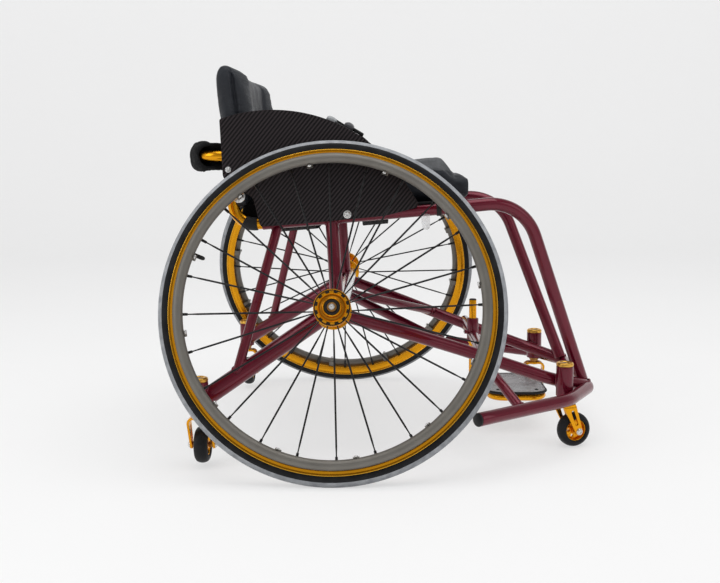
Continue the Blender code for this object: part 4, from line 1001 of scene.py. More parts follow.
def make_caster_wheel(end, at):
    """Caster tyre with a crowned tread, and its hub: ring and boss joined by five webs with a window each."""
    half = [
        (0.0350, 0), (0.0344, 0.0052), (0.0318, 0.0108), (0.0265, 0.0138), (0.0232, 0.0128), (0.0218, 0.0112)
    ]
    tyre = turned(eased(doubled(half, 0), 0.0024, True, 5), 96)
    body = "caster_" + end
    piece("caster_tread_" + end, [tyre], [WALL], body, "caster_tyre_" + end, at)
    ring = [(0.0168, 0.0036), (0.0196, 0.0088), (0.0206, 0.0106), (0.0215, 0.0106)]
    boss = [(0.0043, 0.0110), (0.0078, 0.0110), (0.0084, 0.0040)]
    hub = [turned(eased(doubled(half), 0.0006), steps) for half, steps in ((ring, 96), (boss, 48))]
    way = directions(np.radians(np.linspace(-36, 36, 17)))
    side = np.linspace(0.0174, 0.0080, 6)[1:-1, None]
    outer = np.vstack([0.0174 * way, side * way[-1], 0.0080 * way[::-1], side[::-1] * way[0]])
    inner = [0.0128, 0] + 0.0033 * unit(outer - [0.0128, 0])
    web = pierced(outer, inner, 0.0068, 0.0003)
    hub += [moved(web, Matrix.Rotation(2 * math.pi * (k + 0.5) / 5, 4, "Z")) for k in range(5)]
    covers = "caster_hub_" + end
    piece("caster_core_" + end, hub, [GOLD_TURNED], body, covers, at, patched=True)


def make_caster_cap(end, at):
    """Polished cap of a caster housing, with a sunk dark plug in its middle."""
    dome = [
        (0, 0.0050), (0.0082, 0.0050), (0.0086, 0.0068), (0.0104, 0.0085), (0.0136, 0.0086),
        (0.0162, 0.0072), (0.0174, 0.0046), (0.0172, 0.0018), (0.0166, 0.0003), (0, 0.0003),
    ]
    plug = [(0, 0.0072), (0.0050, 0.0070), (0.0078, 0.0062), (0.0081, 0.0048), (0, 0.0048)]
    surfaces = [lathed(dome, 0.0010, 64), lathed(plug, 0.0006, 40, finish=1)]
    finishes = [CAP_GOLD, BUCKLE_DARK]
    piece("caster_top_" + end, surfaces, finishes, "frame", "caster_cap_" + end, at)


# Footrest: a cross tube with a sleeve, the post that slides in it, its loop and the plate

POST_X, CROSS_Z, POST_R, LOOP_R = 0.290, 0.1962, 0.0080, 0.0070
LOOP_FAR, LOOP_NEAR, LOOP_WIDE, LOOP_Z = 0.434, 0.322, 0.092, 0.0765


def make_carrier():
    """Cross tube between the lower tubes, and the split sleeve with its clamp screw and bushing."""
    reach = beside(LOWER_ROUTE, POST_X, 0.004)[1]
    low, high, screw = 0.1822, 0.2332, 0.2034
    way = directions(np.radians(np.linspace(188, 532, 49)))
    split = eased(np.vstack([0.0125 * way, 0.0083 * way[::-1]]), 0.0004, True, 2)
    bush = [(0.0083, low - 0.0032), (0.0104, low - 0.0032), (0.0104, low + 0.0004), (0.0083, low + 0.0004)]
    surfaces = [
        bar(spaced([(POST_X, -reach, CROSS_Z), (POST_X, reach, CROSS_Z)], 0.05), 0.0110, 40),
        slab(split, high - low, 0.0009, shift((POST_X, 0, (low + high) / 2))),
        bar([(POST_X - 0.0185, -0.004, screw), (POST_X - 0.0075, -0.004, screw)], 0.0045, 28),
        dome_screw((POST_X - 0.0184, -0.004, screw), (-1, 0, 0), 0.0036, 0.0018, 0.0017, 1, SIDEWAYS),
        turned(eased(bush, 0.0005), 48, shift((POST_X, 0, 0)), True, 2),
    ]
    finishes = [ENAMEL, STEEL, GOLD_TURNED]
    piece("carrier_cover", surfaces, finishes, "frame", "footrest_carrier")


def rounded_oblong(far, near, wide, height, radius, step):
    """Closed rounded rectangle on the floor plan, from the middle of its front side."""
    corners = [(far, 0), (far, wide), (near, wide), (near, -wide), (far, -wide), (far, 0)]
    return bent([(x, y, height) for x, y in corners], (radius,) * 4, step)[:-1]


def make_footrest():
    """Sliding post with its black cap and rounded loop, and the plate with its black edging on top."""
    foot = 0.0755
    post = bent([(POST_X, 0, 0.2735), (POST_X, 0, foot), (0.325, 0, foot)], (0.0235,))
    loop = rounded_oblong(LOOP_FAR, LOOP_NEAR, LOOP_WIDE, LOOP_Z, 0.030, 6)
    cap = [(0, 0), (0.0080, 0), (0.0080, 0.0016), (0.0062, 0.0029), (0, 0.0032)]
    surfaces = [
        bar(spaced(post, 0.02), POST_R, 40, SIDEWAYS),
        hoop(spaced(np.vstack([loop, loop[:1]]), 0.012)[:-1], LOOP_R, 24),
        bead(post[-2], post[-1], POST_R, (LOOP_NEAR, 0, LOOP_Z), SIDEWAYS, LOOP_R, 0.0012),
        lathed(cap, 0.0008, 40, shift((POST_X, 0, 0.2732)), 1),
    ]
    piece("footrest_bar", surfaces, [GOLD, PLASTIC], "footrest", "footrest_post")

    base, past = 0.0838, 0.008
    outline = rounded_oblong(LOOP_FAR + past, LOOP_NEAR - past, LOOP_WIDE + past, 0, 0.035, 5)[:, :2]
    edge = np.column_stack([outline * [0.980, 0.975] + [0.0076, 0], np.full(len(outline), base + 0.0029)])
    surfaces = [
        slab(outline * [0.992, 0.994] + [0.003, 0], 0.0050, 0.0010, shift((0, 0, base + 0.0028))),
        hoop(edge, 0.0029, 16, 1),
    ]
    for x, y in ((0.338, 0.074), (0.338, -0.074), (0.420, 0.074), (0.420, -0.074)):
        surfaces.append(dome_screw((x, y, base + 0.0053), UPRIGHT, 0.0042, 0.0016, 0.0018))
    piece("footplate_cover", surfaces, [PLATE, RUBBER], "footrest", "footplate")


# Seat and back

CANE_X, CANE_Y = -0.2065, 0.220
BOW_Y, BOW_Z = 0.2235, 0.589
BOW_BEND, BOW_MIDDLE = (-0.2545, BOW_Y, BOW_Z), (-0.2940, 0.0600, BOW_Z)
GUARD_Y, GUARD_T = 0.2495, 0.0030
BACK_BOLT, RAIL_BOLT = (-0.2015, 0.563), (0.0256, 0.4755)


def through(a, b, c, count):
    """Points of the circle through three points, from the first to the last."""
    a, b, c = (np.array(p, float) for p in (a, b, c))
    centre = np.linalg.solve(2 * np.array([b - a, c - a]), [b @ b - a @ a, c @ c - a @ a])
    turns = np.unwrap([math.atan2(*(p - centre)[::-1]) for p in (a, b, c)])
    return centre + np.linalg.norm(a - centre) * directions(np.linspace(turns[0], turns[2], count))


def upright_at(side, y, z=0):
    """Matrix that stands a flat form upright beside the seat: its X forward and its Y up."""
    return np.array([[1, 0, 0, 0], [0, 0, side, side * y], [0, 1, 0, z], [0, 0, 0, 1]])


def make_guard(end, side):
    """Carbon side guard, its outline through arcs and rounded corners, on two screws with spacers."""
    outline = np.vstack([
        [(-0.2120, 0.0885)],
        through((-0.2160, 0.2000), (-0.100, 0.2160), (0.0665, 0.1555), 33),
        through((0.0665, 0.1555), (0.108, 0.1165), (0.140, 0.0725), 9)[1:],
        [(0.1620, 0.0375), (0.1595, 0.0290), (0.098, 0.0135), (-0.065, -0.0005)],
        [(-0.1425, -0.0055), (-0.155, 0.0501)],
    ])
    sheet_at = upright_at(side, GUARD_Y + GUARD_T / 2, RAIL_REAR_Z)
    surfaces = [slab(eased(outline, 0.0070, True, 5), GUARD_T, 0.0008, sheet_at)]
    face, way = side * (GUARD_Y + GUARD_T), (0, side, 0)
    bolts = (RAIL_BOLT, RAIL_Y + TUBE - 0.001, 0.0078), (BACK_BOLT, RAIL_Y + 0.001, 0.0058)
    for (x, z), inner, wide in bolts:
        washer = [(0, -0.0002), (wide, -0.0002), (wide, 0.0007), (0, 0.0009)]
        surfaces.append(lathed(washer, 0.0003, 40, seat((x, face, z), way), 1))
        surfaces.append(dome_screw((x, face + side * 0.0007, z), way, 0.75 * wide, 0.40 * wide, 0.33 * wide))
        surfaces.append(bar([(x, side * inner, z), (x, side * GUARD_Y, z)], 0.0050, 28, finish=1))
    piece("guard_cover_" + end, surfaces, [CARBON, STEEL], "frame", "side_guard_" + end)


def make_cane(end, side):
    """Bent back cane and its half of the rear bow, the black sleeve at its foot, and a small clamp plate."""
    top = (CANE_X + 0.0040, CANE_Y - 0.002, 0.722)
    cane = bent(mirrored([(-0.1403, RAIL_Y, RAIL_REAR_Z), (-0.1960, 0.230, 0.4545), top], side), (0.042,))
    bow = [(CANE_X + 0.0055, BOW_Y, BOW_Z), BOW_BEND, (-0.2722, 0.150, BOW_Z)]
    bow = bent(mirrored(bow, side), (0.045,))
    foot = spaced(cane, 0.003)
    foot = foot[(foot[:, 0] < -0.1480) & (foot[:, 0] > -0.1760)]
    lug = eased(through((-0.1960, 0.5165), (-0.1712, 0.5125), (-0.1940, 0.5030), 9), 0.002, True, 3)
    surfaces = [
        bar(spaced(cane, 0.03), CANE_R, 40, SIDEWAYS),
        bar(spaced(bow, 0.03), CANE_R, 40),
        bead(bow[1], bow[0], CANE_R, cane[-2], cane[-1] - cane[-2], CANE_R, 0.0014),
        bar(foot, 0.0128, 40, SIDEWAYS, 0.0015, 1),
        slab(lug, 0.0040, 0.0007, upright_at(side, 0.2390), 2),
        dome_screw((-0.1768, side * 0.2409, 0.5112), (0, side, 0), 0.0040, 0.0028, 0.0018, 2),
    ]
    finishes, covers = [GOLD, RUBBER, STEEL], "back_cane_" + end
    piece("cane_cover_" + end, surfaces, finishes, "frame", covers, patched=True)


def block(counts, shape):
    """The six faces of a cube divided into a grid, each point moved to where shape(a, b, c) puts it."""
    surfaces = []
    for axis in range(3):
        p, q = (k for k in range(3) if k != axis)
        first, second = (np.linspace(-1, 1, counts[k] + 1) for k in (p, q))
        for end in (-1.0, 1.0):
            grid = np.empty((len(second), len(first), 3))
            grid[..., axis] = end
            grid[..., p], grid[..., q] = first[None, :], second[:, None]
            surfaces.append(skin(shape(*np.moveaxis(grid, -1, 0))))
    return surfaces


def settled(obj):
    """Bakes the modifiers of a piece into its mesh."""
    graph = bpy.context.evaluated_depsgraph_get()
    old, made = obj.data, bpy.data.meshes.new_from_object(obj.evaluated_get(graph))
    obj.modifiers.clear()
    obj.data = made
    bpy.data.meshes.remove(old)


def read(items, key):
    values = np.empty(len(items) * 3)
    items.foreach_get(key, values)
    return values.reshape(-1, 3)


def puffed(obj, voxel, pressure, travel):
    """Remeshes a pad evenly and blows it up as cloth for 20 frames. No point travels further than a cap."""
    even = obj.modifiers.new("even", "REMESH")
    even.mode, even.voxel_size, even.use_smooth_shade = "VOXEL", voxel, True
    settled(obj)
    cloth = obj.modifiers.new("cloth", "CLOTH").settings
    cloth.quality, cloth.mass = 5, 0.3
    cloth.use_pressure, cloth.uniform_pressure_force = True, pressure
    cloth.effector_weights.gravity = 0
    cloth.tension_stiffness = cloth.compression_stiffness = 12
    cloth.bending_stiffness = 1.5
    before = read(obj.data.vertices, "co")
    for number in range(1, 21):
        bpy.context.scene.frame_set(number)
    swollen = obj.evaluated_get(bpy.context.evaluated_depsgraph_get()).to_mesh()
    step = read(swollen.vertices, "co") - before
    far = np.linalg.norm(step, axis=1, keepdims=True)
    after = before + step * np.minimum(1, travel / np.maximum(far, 1e-9))
    obj.modifiers.clear()
    obj.data.vertices.foreach_set("co", after.ravel())
    bpy.context.scene.frame_set(1)


def pad(name, surfaces, finishes, covers, voxel, travel, press):
    """A padded piece: its form blown up as cloth, then its seams and creases pressed in and smoothed once.

    The seams are press(points, normals), worked out on the whole array of points."""
    made = piece(name, surfaces, finishes, None, doubles=1e-5, patched=True, crease=180)
    puffed(made, voxel, 4.0, travel)
    smooth = made.modifiers.new("finer", "SUBSURF")
    smooth.levels = smooth.render_levels = 1
    settled(made)
    points = made.data.vertices
    at = read(points, "co")
    at = at + press(at - [HUB_X, 0, 0], read(points, "normal"))
    points.foreach_set("co", at.ravel())
    made.data.update()
    made.data.shade_smooth()
    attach(made, "frame")
    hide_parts(covers)
    return made


def groove(distance, width):
    """Depth from 0 to 1 of a stitched groove at a distance from its line: exp(-(d / w) squared)."""
    return np.exp(-((distance / width) ** 2))


def rounded_square(a, b, power):
    """Two coordinates from -1 to 1 in a rounded square: (a, b) max(|a|, |b|) / (|a|^p + |b|^p)^(1/p)."""
    size = (np.abs(a) ** power + np.abs(b) ** power) ** (1 / power)
    scale = np.maximum(np.abs(a), np.abs(b)) / np.maximum(size, 1e-9)
    return a * scale, b * scale


def rounded_line(points, rounds):
    """Corner cutting of a closed line: each round puts points at 1/4 and 3/4 of every side."""
    for _ in range(rounds):
        after = np.roll(points, -1, 0)
        cut = np.stack([0.75 * points + 0.25 * after, 0.25 * points + 0.75 * after], 1)
        points = cut.reshape(-1, points.shape[-1])
    return points


BACK_LOW, BACK_TOP = 0.4880, 0.7650
# Half of the back's outline seen from above: distance from the middle, shares of four depths, and an offset.
# The depths are the front between the bolsters, the bolsters' front, the seam round their side, and the rear.
BACK_PLAN = np.array([
    (0.000, 1, 0, 0, 0, 0.0000), (0.040, 1, 0, 0, 0, 0.0020), (0.082, 1, 0, 0, 0, -0.0010),
    (0.120, 1, 0, 0, 0, 0.0025), (0.150, 0.8, 0.2, 0, 0, 0.0000), (0.172, 0.4, 0.6, 0, 0, 0.0010),
    (0.190, 0, 1, 0, 0, 0.0005), (0.208, 0, 1, 0, 0, 0.0005), (0.2255, 0, 1, 0, 0, -0.0060),
    (0.2365, 0, 0.5, 0.5, 0, 0.0000), (0.2385, 0, 0, 1, 0, 0.0000), (0.2415, 0, 0, 0.5, 0.5, 0.0000),
    (0.2405, 0, 0, 0.15, 0.85, 0.0000), (0.2330, 0, 0, 0, 1, 0.0005), (0.2150, 0, 0, 0, 1, 0.0000),
    (0.1500, 0, 0, 0, 1, 0.0030), (0.0800, 0, 0, 0, 1, 0.0050),
])


def back_depths(z):
    """The four depths of the back at a height. All lean to the rear towards the top."""
    rear = -0.2190 + 0.080 * (0.7252 - z)
    bolster = np.minimum(-0.1585, -0.1640 - 0.12 * (z - 0.677))
    middle = -0.1890 + 0.060 * (0.700 - z)
    seam = -0.1875 - 0.115 * (z - 0.708)
    return np.stack([middle, bolster, seam, rear], -1)


def back_rows():
    """Rows of the back's outline up its height, drawn in towards a spine at both ends.

    They keep sqrt(1 - s^2.4) of their distance from it, where s rises from 0 to 1 towards the end."""
    t = np.linspace(0, 1, 41)
    z = BACK_LOW + (BACK_TOP - BACK_LOW) * (0.5 - 0.5 * np.cos(math.pi * t))
    over, under = ramp(z, 0.7300, BACK_TOP - 0.7300), ramp(z, 0.5040, BACK_LOW - 0.5040)
    keep = np.sqrt(np.clip(1 - over**2.4, 0.004, 1)) * np.sqrt(np.clip(1 - under**2.4, 0.004, 1))
    depth = back_depths(z)
    half_x = depth @ BACK_PLAN[:, 1:5].T + BACK_PLAN[:, 5]
    x = np.concatenate([half_x, half_x[:, :0:-1]], 1)
    y = np.concatenate([BACK_PLAN[:, 0], -BACK_PLAN[:0:-1, 0]])
    spine = (depth[:, :1] + depth[:, 3:]) / 2 + 0.004
    x = spine + (x - spine) * keep[:, None]
    y = y * (1 - 0.045 * (1 - keep[:, None]))
    return np.stack([rounded_line(row, 2) for row in lattice(x, y, z[:, None])])


def back_press(at, way):
    """Seams of the back, with short creases that run out of them, and a soft sag.

    One seam runs down each side of the middle, and one round each bolster."""
    x, y, z = at.T
    far, seam = np.abs(y), back_depths(z)[:, 2]
    ahead = np.clip(way[:, 0], 0, 1)
    sideways = np.clip(np.abs(way[:, 1]) * 1.5 + ahead * 0.3, 0, 1)
    front = groove(far - 0.1560, 0.0070) * 0.0035 * ahead
    corner = groove(x - seam, 0.0042) * 0.0085 * ramp(far, 0.205, 0.02) * sideways
    ripple = np.sin(z * 700 + 3.0 * np.sin(y * 60)) * np.sin(z * 290 + y * 41 + 1.0)
    crease = 0.0006 * ripple * (groove(far - 0.195, 0.018) + groove(x - seam, 0.012) * ramp(far, 0.2, 0.02))
    sag = 0.0010 * np.sin(z * 60 + y * 25) * np.sin(y * 70 + 0.7)
    return way * ((crease + sag - front - corner) * ramp(z, 0.7600, -0.012))[:, None]


def make_back_pad():
    surfaces = [skin(back_rows(), True, False, True)]
    pad("back_pad", surfaces, [LEATHER], "back_upholstery", 0.0050, 0.006, back_press)


def sling_line(y):
    """How far the sling hangs below the tops of the rails at a distance from the middle."""
    return 0.010 * np.maximum(0, 1 - (y / RAIL_Y) ** 2)


CUSHION_REAR, CUSHION_FRONT, CUSHION_FOLD, LAYER_Z = -0.160, 0.267, 0.2385, 0.5565
SLING_TOP = TUBE + 0.0036


def cushion_form(a, b, c):
    """Seat cushion: crowned top, drawn-in sides, a lower roll in front and a base that fits the sling."""
    half = (CUSHION_FRONT - CUSHION_REAR) / 2
    flat = CUSHION_REAR + half * (a + 1)
    blend = ramp(flat, 0.2155, 0.0225)
    top = 0.5700 + 0.0062 * ramp(flat, 0.140, 0.065)
    top = top + (0.5470 - top) * blend
    crown = 0.002 * (1 - b * b) * (1 - blend)
    a_round, c_round = rounded_square(a, c, 10)
    b_round, c_round = rounded_square(b, c_round, 6)
    drawn = 1 - 0.018 * (1 - c * c) * (1 - np.abs(a) ** 6) - 0.04 * np.abs(a) ** 8
    x, y = CUSHION_REAR + half * (a_round + 1), 0.204 * b_round * drawn
    base = rail_z(x) + SLING_TOP - sling_line(y)
    share = 1 + np.where(c < 0, c, c_round)
    return np.stack([x, y, base + (top - base) / 2 * share + crown * np.maximum(0, c)], -1)


def cushion_press(at, way):
    """A seam round the cushion under its upper layer, a fold behind the front roll, and soft creases."""
    x, y, z = at.T
    seam = groove(z - LAYER_Z, 0.0022) * (1 - np.abs(way[:, 2])) * 0.0024 * (x < 0.240)
    behind = groove(x - CUSHION_FOLD, 0.0040) * ramp(z, 0.530, 0.02) * 0.0030
    crease = 0.0006 * np.sin(x * 170 + 2 * np.sin(y * 23)) * np.sin(y * 61 + x * 33)
    crease = crease * np.clip(way[:, 2], 0, 1)
    roll = 0.0005 * np.sin(y * 330 + 2.0 * np.sin(z * 120)) * groove(x - 0.240, 0.012)
    return way * (crease + roll - seam - behind)[:, None]


def make_cushion():
    """The cushion has leather below and a grey cloth layer on top, behind its front roll."""
    form, finishes = block((48, 40, 12), cushion_form), [GREY_CLOTH, LEATHER]
    mesh = pad("cushion", form, finishes, "seat_cushion", 0.0060, 0.005, cushion_press).data
    x, _, z = read(mesh.polygons, "center").T
    below = (z < LAYER_Z) | (x - HUB_X > CUSHION_FOLD)
    mesh.polygons.foreach_set("material_index", below.astype(int))
    corner = np.empty(len(mesh.loops), int)
    mesh.loops.foreach_get("vertex_index", corner)
    at = read(mesh.vertices, "co")[corner]
    from_above = (at[:, :2] + at[:, 2:] * [0.0, 1.0]).astype(np.float32).ravel()
    mesh.uv_layers.new(name="from_above").data.foreach_set("uv", from_above)


def strap(name, grid, thickness, finish, covers=None):
    """Strap or cloth of even thickness over a grid: columns across it, rows along it, mapped in metres."""
    across, along = lengths(grid[0]), lengths(grid[:, len(grid[0]) // 2])
    surfaces = sheet_wall(grid, thickness, across, along)
    made = piece(name, surfaces, [finish], "frame", covers, doubles=1e-5, patched=True)
    edge = made.modifiers.new("rolled_edge", "BEVEL")
    edge.width, edge.segments, edge.limit_method = thickness * 0.42, 3, "ANGLE"


def make_sling():
    """Sling stretched over both rails: it wraps part of each and sags between, with a hem at each end."""
    wrap = TUBE + 0.0003 + 0.0015
    over = [RAIL_Y, 0] + wrap * directions(np.radians(np.linspace(50, 90, 9)))
    y = np.linspace(RAIL_Y, -RAIL_Y, 61)[1:-1]
    section = np.vstack([over, np.stack([y, wrap - sling_line(y)], -1), over[::-1] * [-1, 1]])
    x = np.linspace(-0.125, 0.215, 69)[:, None]
    hem = 0.0009 * (groove(x - x[0] - 0.012, 0.006) + groove(x - x[-1] + 0.012, 0.006))
    grid = lattice(x, section[:, 0], section[:, 1] + rail_z(x) + hem)
    strap("sling", grid, 0.0028, NYLON, "seat_sling")


BELT_X, BELT_Y, BELT_W, BELT_TOP, BELT_TIP = 0.022, 0.2275, 0.045, 0.643, 0.60


def belt_lean(x, z, foot):
    """Level with the rail at the foot, tipped forward over the lap."""
    share = np.minimum(1, (z - foot) / (BELT_TOP - foot - 0.100))
    return (x - BELT_X) * (RAIL_SLOPE - (RAIL_SLOPE + BELT_TIP) * share)


def make_belt():
    """Lap belt over the cushion: a flat strap up one side, across and down the other."""
    foot = rail_z(BELT_X) + SLING_TOP - sling_line(BELT_Y)
    route = [(0, -BELT_Y, foot), (0, -BELT_Y, BELT_TOP), (0, BELT_Y, BELT_TOP), (0, BELT_Y, foot)]
    line = spaced(bent(route, (0.100, 0.100), 4), 0.008)
    x = BELT_X + BELT_W / 2 * np.linspace(-1, 1, 9)
    grid = lattice(x, line[:, 1:2], line[:, 2:] + belt_lean(x, line[:, 2:], foot))
    strap("belt", grid, 0.0024, WEBBING, "lap_belt")


def make_buckle():
    """Buckle of the belt: a domed body with its button, a tongue and two end bars, and the strap's tail."""
    tilt = unit(np.array([1.0, 0, -BELT_TIP]))
    lift = np.array([-tilt[2], 0, tilt[0]])

    def on_belt(ahead, up):
        m = np.eye(4)
        m[:3, 0], m[:3, 1], m[:3, 2] = tilt, SIDEWAYS, lift
        m[:3, 3] = np.array([BELT_X, 0, BELT_TOP]) + tilt * ahead + lift * up
        return m

    surfaces = []
    for size, power, crown, ahead, up, finish in (
        ((0.0230, 0.0560, 0.0115), 5, 0.7, -0.0020, 0.0062, 0),
        ((0.0255, 0.0420, 0.0120), 4, 0.3, -0.0405, 0.0000, 1),
        ((0.0260, 0.0400, 0.0075), 7, 0.0, 0.0200, 0.0068, 2),
        ((0.0260, 0.0300, 0.0050), 7, 0.0, -0.0240, 0.0040, 2),
    ):
        def form(a, b, c):
            a1, b1 = rounded_square(a, b, power)
            b2, c2 = rounded_square(b1, c, power)
            a3, c3 = rounded_square(a1, c2, power)
            top = 1 + crown * (1 - a1 * a1) * (1 - b1 * b1) * np.maximum(0, c)
            return np.stack([a3 * size[0] / 2, b2 * size[1] / 2, c3 * size[2] / 2 * top], -1)

        surfaces += [moved(s, on_belt(ahead, up), finish) for s in block((12, 16, 8), form)]
    button = [(0, 0), (0.0060, 0), (0.0060, 0.0022), (0.0040, 0.0030), (0, 0.0030)]
    surfaces.append(lathed(button, 0.0007, 40, on_belt(-0.0020, 0.0128), 2))
    finishes = [BUCKLE_DARK, BUCKLE, PLASTIC]
    piece("belt_buckle", surfaces, finishes, "frame", patched=True, doubles=1e-5)
    x = np.array([0.0330, 0.0400, 0.0460, 0.0520, 0.0580, 0.0637])[:, None]
    z = np.array([0.6410, 0.6375, 0.6330, 0.6280, 0.6230, 0.6178])[:, None]
    strap("belt_tail", lattice(x, 0.0190 * np.linspace(-1, 1, 7), z), 0.0022, WEBBING)


def make_under_strap(name, first, last, low):
    """Webbing strap under the sling: it hangs in a shallow curve from the undersides of the rails."""
    x = np.linspace(first, last, 9)
    y = np.linspace(-0.2250, 0.2250, 41)[:, None]
    fall = rail_z((first + last) / 2) - 0.0130 - low
    grid = lattice(x, y, -0.0130 - fall * (1 - (y / 0.225) ** 4) + rail_z(x))
    strap(name, grid, 0.0030, WEBBING)


def make_bow_sleeve():
    """Padded sleeve on the rear bow: an oval carried round the bow, open in a slanted mouth at each end.

    The near wall ends first at a mouth. The foam leaves a hollow round the tube there, and slack folds run
    round it."""
    deep, tall = 0.0160, 0.0285
    half = np.array([(-0.2090, BOW_Y, BOW_Z), BOW_BEND, BOW_MIDDLE])
    route = spaced(bent(np.vstack([half * [1, -1, 1], half[::-1]]), (0.042, 0.12, 0.12, 0.042), 6), 0.005)
    s = lengths(route)
    a = np.linspace(0, TURN, 64, endpoint=False)
    trim = 0.0475 * np.clip(-np.cos(a), 0, 1) ** 0.8 + 0.004 * np.sin(a) ** 2
    share = np.linspace(0, 1, 91)[:, None]
    at = trim + (s[-1] - 2 * trim) * (share + 0.035 * np.sin(TURN * share) * -1)

    def followed(line):
        return np.stack([np.interp(at, s, line[:, k]) for k in range(3)], -1)

    side = unit(np.cross(unit(followed(np.gradient(route, s, axis=0))), [0, 0, 1.0]))
    end = np.minimum(at, s[-1] - at)
    fold = 0.0013 * np.sin(at * 190 + 2.5 * np.sin(a * 2) + a) * np.sin(3 * a + at * 30)
    fold = fold + 0.0016 * np.exp(-((end - 0.066) / 0.020) ** 2) * np.sin(5 * a + 1.2)
    flare = 1 + 0.10 * np.exp(-end / 0.010)

    def wall(deep, tall):
        wide = (deep + fold) * flare
        high = (tall * (1.02 - 0.24 * ramp(end, 0.050, -0.045)) + fold) * flare
        out = followed(route) + side * (wide * np.cos(a))[..., None]
        return out + np.array([0, 0, 1.0]) * (high * np.sin(a))[..., None]

    hollow = ramp(end, 0.050, 0.035)
    outer = wall(deep, tall)
    inner = wall(deep - 0.0030 - 0.0010 * hollow, tall - 0.0035 - 0.0125 * hollow)
    lip = (outer[[0, -1]] + inner[[0, -1]]) / 2 + unit(outer[[0, -1]] - outer[[1, -2]]) * 0.0016
    surface = skin(np.concatenate([outer, lip[1:], inner[::-1], lip[:1]]), True, True)
    name, covers = "bow_sleeve", "rear_bow_pad"
    made = piece(name, [surface], [NYLON], "frame", covers, doubles=1e-7, crease=60)


def make_small_things():
    """The rolled rear end of the sling, a black band round each rail, and the clear tab on the near rail."""
    y = np.linspace(-0.2185, 0.2185, 61)
    slack = 0.0012 * np.sin(y * 130) * np.sin(y * 47 + 1)
    roll = bar(lattice(-0.1580 + slack, y, 0.4765 + slack), 0.0245 + slack, 40, edge=0.0080, flat=1.12)
    piece("sling_roll", [roll], [NYLON], "frame")
    for end, side in SIDES.items():
        line = [(x, side * RAIL_Y, rail_z(x)) for x in (0.1970, 0.2065)]
        band = bar(line, 0.0145, 40, SIDEWAYS, 0.0012)
        piece("rail_band_" + end, [band], [RUBBER], "frame")
    tab_x = 0.1755
    across = 0.0165 * np.linspace(-0.5, 0.5, 9)
    t = np.linspace(0, 1, 21)[:, None]
    x = tab_x + 0.0015 * t + across * np.sqrt(1 - 0.97 * t**7)
    y = -(RAIL_Y + 0.0136) + 0.0022 * np.sin(math.pi * t) - 0.0008 * np.cos(across * 300)
    strap("clear_tab", lattice(x, y, 0.4745 - 0.0300 * t), 0.0009, CLEAR)


def make_chair():
    for end, side in SIDES.items():
        make_side_frame(end, side)
    make_bumper()
    make_camber_tube()
    for end, side in SIDES.items():
        at = seat((0, side * HUB_Y, HUB_Z), (0, side * math.cos(CAMBER), math.sin(CAMBER)))
        for make in (make_tyre, make_rim, make_hub, make_pushrim, make_axle):
            make(end, at)
    for end, spot, side, crown, top, turn in CASTERS:
        axis = shift((spot[0], side * spot[1], crown)) @ Matrix.Rotation(math.radians(turn), 4, "Z")
        make_fork(end, axis)
        make_caster_wheel(end, np.array(axis) @ seat((TRAIL, 0, -DROP), SIDEWAYS))
        make_caster_cap(end, shift((spot[0], side * spot[1], top)))
    make_carrier()
    make_footrest()
    for end, side in SIDES.items():
        make_guard(end, side)
        make_cane(end, side)
    make_back_pad()
    make_cushion()
    make_sling()
    make_belt()
    make_buckle()
    make_under_strap("under_strap_rear", -0.114, -0.038, 0.4385)
    make_under_strap("under_strap_front", 0.0535, 0.1045, 0.4480)
    make_bow_sleeve()
    make_small_things()


# Camera, light and floor


def link(name, data):
    made = bpy.data.objects.new(name, data)
    bpy.context.scene.collection.objects.link(made)
    return made


def set_camera():
    """Camera fitted to the photograph: 50 mm lens on a 36 mm frame, turned by yaw, pitch and roll."""
    yaw, pitch, roll = (math.radians(a) for a in (-1.1706, 7.3845, -0.5697))
    ahead = Vector((math.sin(yaw) * math.cos(pitch), math.cos(yaw) * math.cos(pitch), -math.sin(pitch)))
    level = Vector((math.cos(yaw), -math.sin(yaw), 0))
    above = level.cross(ahead)
    right = math.cos(roll) * level + math.sin(roll) * above
    up = math.cos(roll) * above - math.sin(roll) * level
    made = link("camera", bpy.data.cameras.new("camera"))
    made.data.lens, made.data.sensor_width = 50, 36
    made.matrix_world = Matrix((right, up, -ahead)).transposed().to_4x4()
    made.location = (-0.0160, -2.1728, 0.5752)
    bpy.context.scene.camera = made


def add_lamp(name, location, target, size, power):
    lamp = bpy.data.lights.new(name, "AREA")
    lamp.shape, lamp.size, lamp.size_y, lamp.energy = "RECTANGLE", *size, power
    made = link(name, lamp)
    made.location = location
    made.rotation_euler = (Vector(target) - Vector(location)).to_track_quat("-Z", "Y").to_euler()


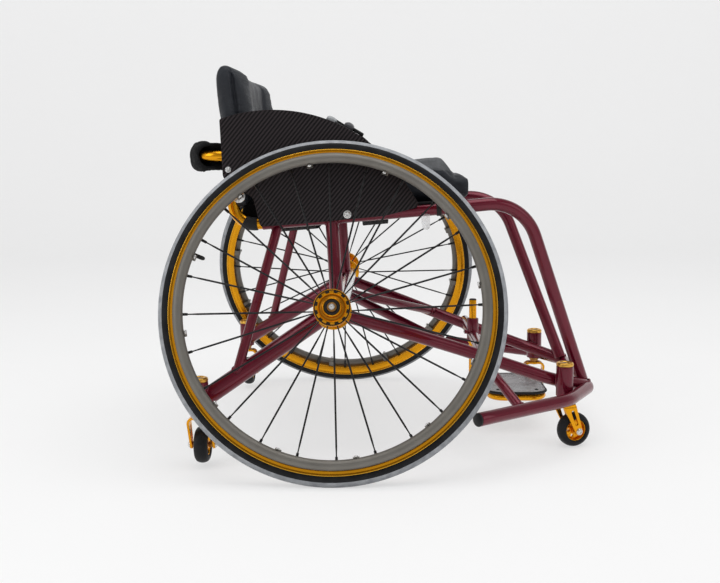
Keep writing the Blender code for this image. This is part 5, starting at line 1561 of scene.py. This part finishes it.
def set_world():
    """A pale room: the backdrop behind and at the horizon, a dim studio overhead and behind the camera.

    Diffuse rays meet one even light. Gloss rays meet the same pale backdrop towards +Y and near the horizon,
    and a dim panel behind the camera. Camera rays past the backdrop meet a tone near white."""
    world = bpy.data.worlds.new("pale_room")
    bpy.context.scene.world = world
    world.use_nodes = True
    w = Nodes(world.node_tree)
    _, y, z = w.add("SeparateXYZ", {0: w.add("TexCoord")["Generated"]})
    gloss = w.math("MULTIPLY", w.ranged(y, -0.15, 0.55, 0.36, 0.80), w.ranged(z, 0.25, 0.85, 1.0, 0.40))
    band = w.math("MULTIPLY", w.ranged(z, 0.13, 0.25), w.ranged(z, 0.44, 0.60, 1.0, 0.0))
    panel = w.math("MULTIPLY", band, w.ranged(y, -0.75, -0.45, 0.22, 0.0))
    lit = w.blend(w.seen_by("Glossy"), 0.72, w.math("ADD", gloss, panel))
    total = w.blend(w.seen_by("Camera", "Transmission"), lit, 0.955)
    w.fill(w.tree.nodes["Background"], {"Color": total, "Strength": 1.0})


def make_floor():
    """A floor that rises into a backdrop along a quarter circle, lit a little by itself towards the top."""
    a = np.radians(np.linspace(0, 90, 13))
    y = np.concatenate([[-7.0, 0.0, 3.0], 4.0 + 1.5 * np.sin(a), [5.5]])[:, None]
    z = np.concatenate([[0.0, 0.0, 0.0], 1.5 - 1.5 * np.cos(a), [6.0]])[:, None]
    flat, faces, _, _ = skin(lattice(np.linspace(-9, 9, 3), y, z))
    mesh = bpy.data.meshes.new("floor")
    mesh.from_pydata(flat.tolist(), [], faces)
    mesh.shade_smooth()
    f = Finish("studio_paper", 0.9, Specular_IOR_Level=0.2, Emission_Strength=1.0)
    seen = f.seen_by("Camera", "Transmission", "Glossy")
    tone = f.cloud(1.2, 2.0, 0.2, 0.8)
    bounced = f.mix(tone, (0.74, 0.74, 0.745), (0.77, 0.77, 0.775))
    shown = f.mix(tone, (0.342, 0.342, 0.342), (0.352, 0.352, 0.352))
    height = f.ranged(f.add("SeparateXYZ", {0: f.place})[2], 0.0, 2.2)
    glow = f.mix(height, (0.546, 0.546, 0.547), (0.607, 0.607, 0.608))
    f.give(Base_Color=f.mix(seen, bounced, shown), Emission_Color=f.mix(seen, (0.0, 0.0, 0.0), glow))
    mesh.materials.append(f.made)
    link("floor", mesh)


make_chair()
set_camera()
set_world()
make_floor()
add_lamp("overhead", (0.2, -0.6, 3.2), (0, 0, 0.3), (3.0, 2.4), 46)
add_lamp("left_window", (-2.8, -1.6, 1.9), (0, 0, 0.4), (1.6, 2.2), 22)
add_lamp("right_fill", (2.8, -1.4, 1.6), (0, 0, 0.4), (1.4, 2.0), 8)
bpy.context.scene.view_settings.view_transform = "Standard"
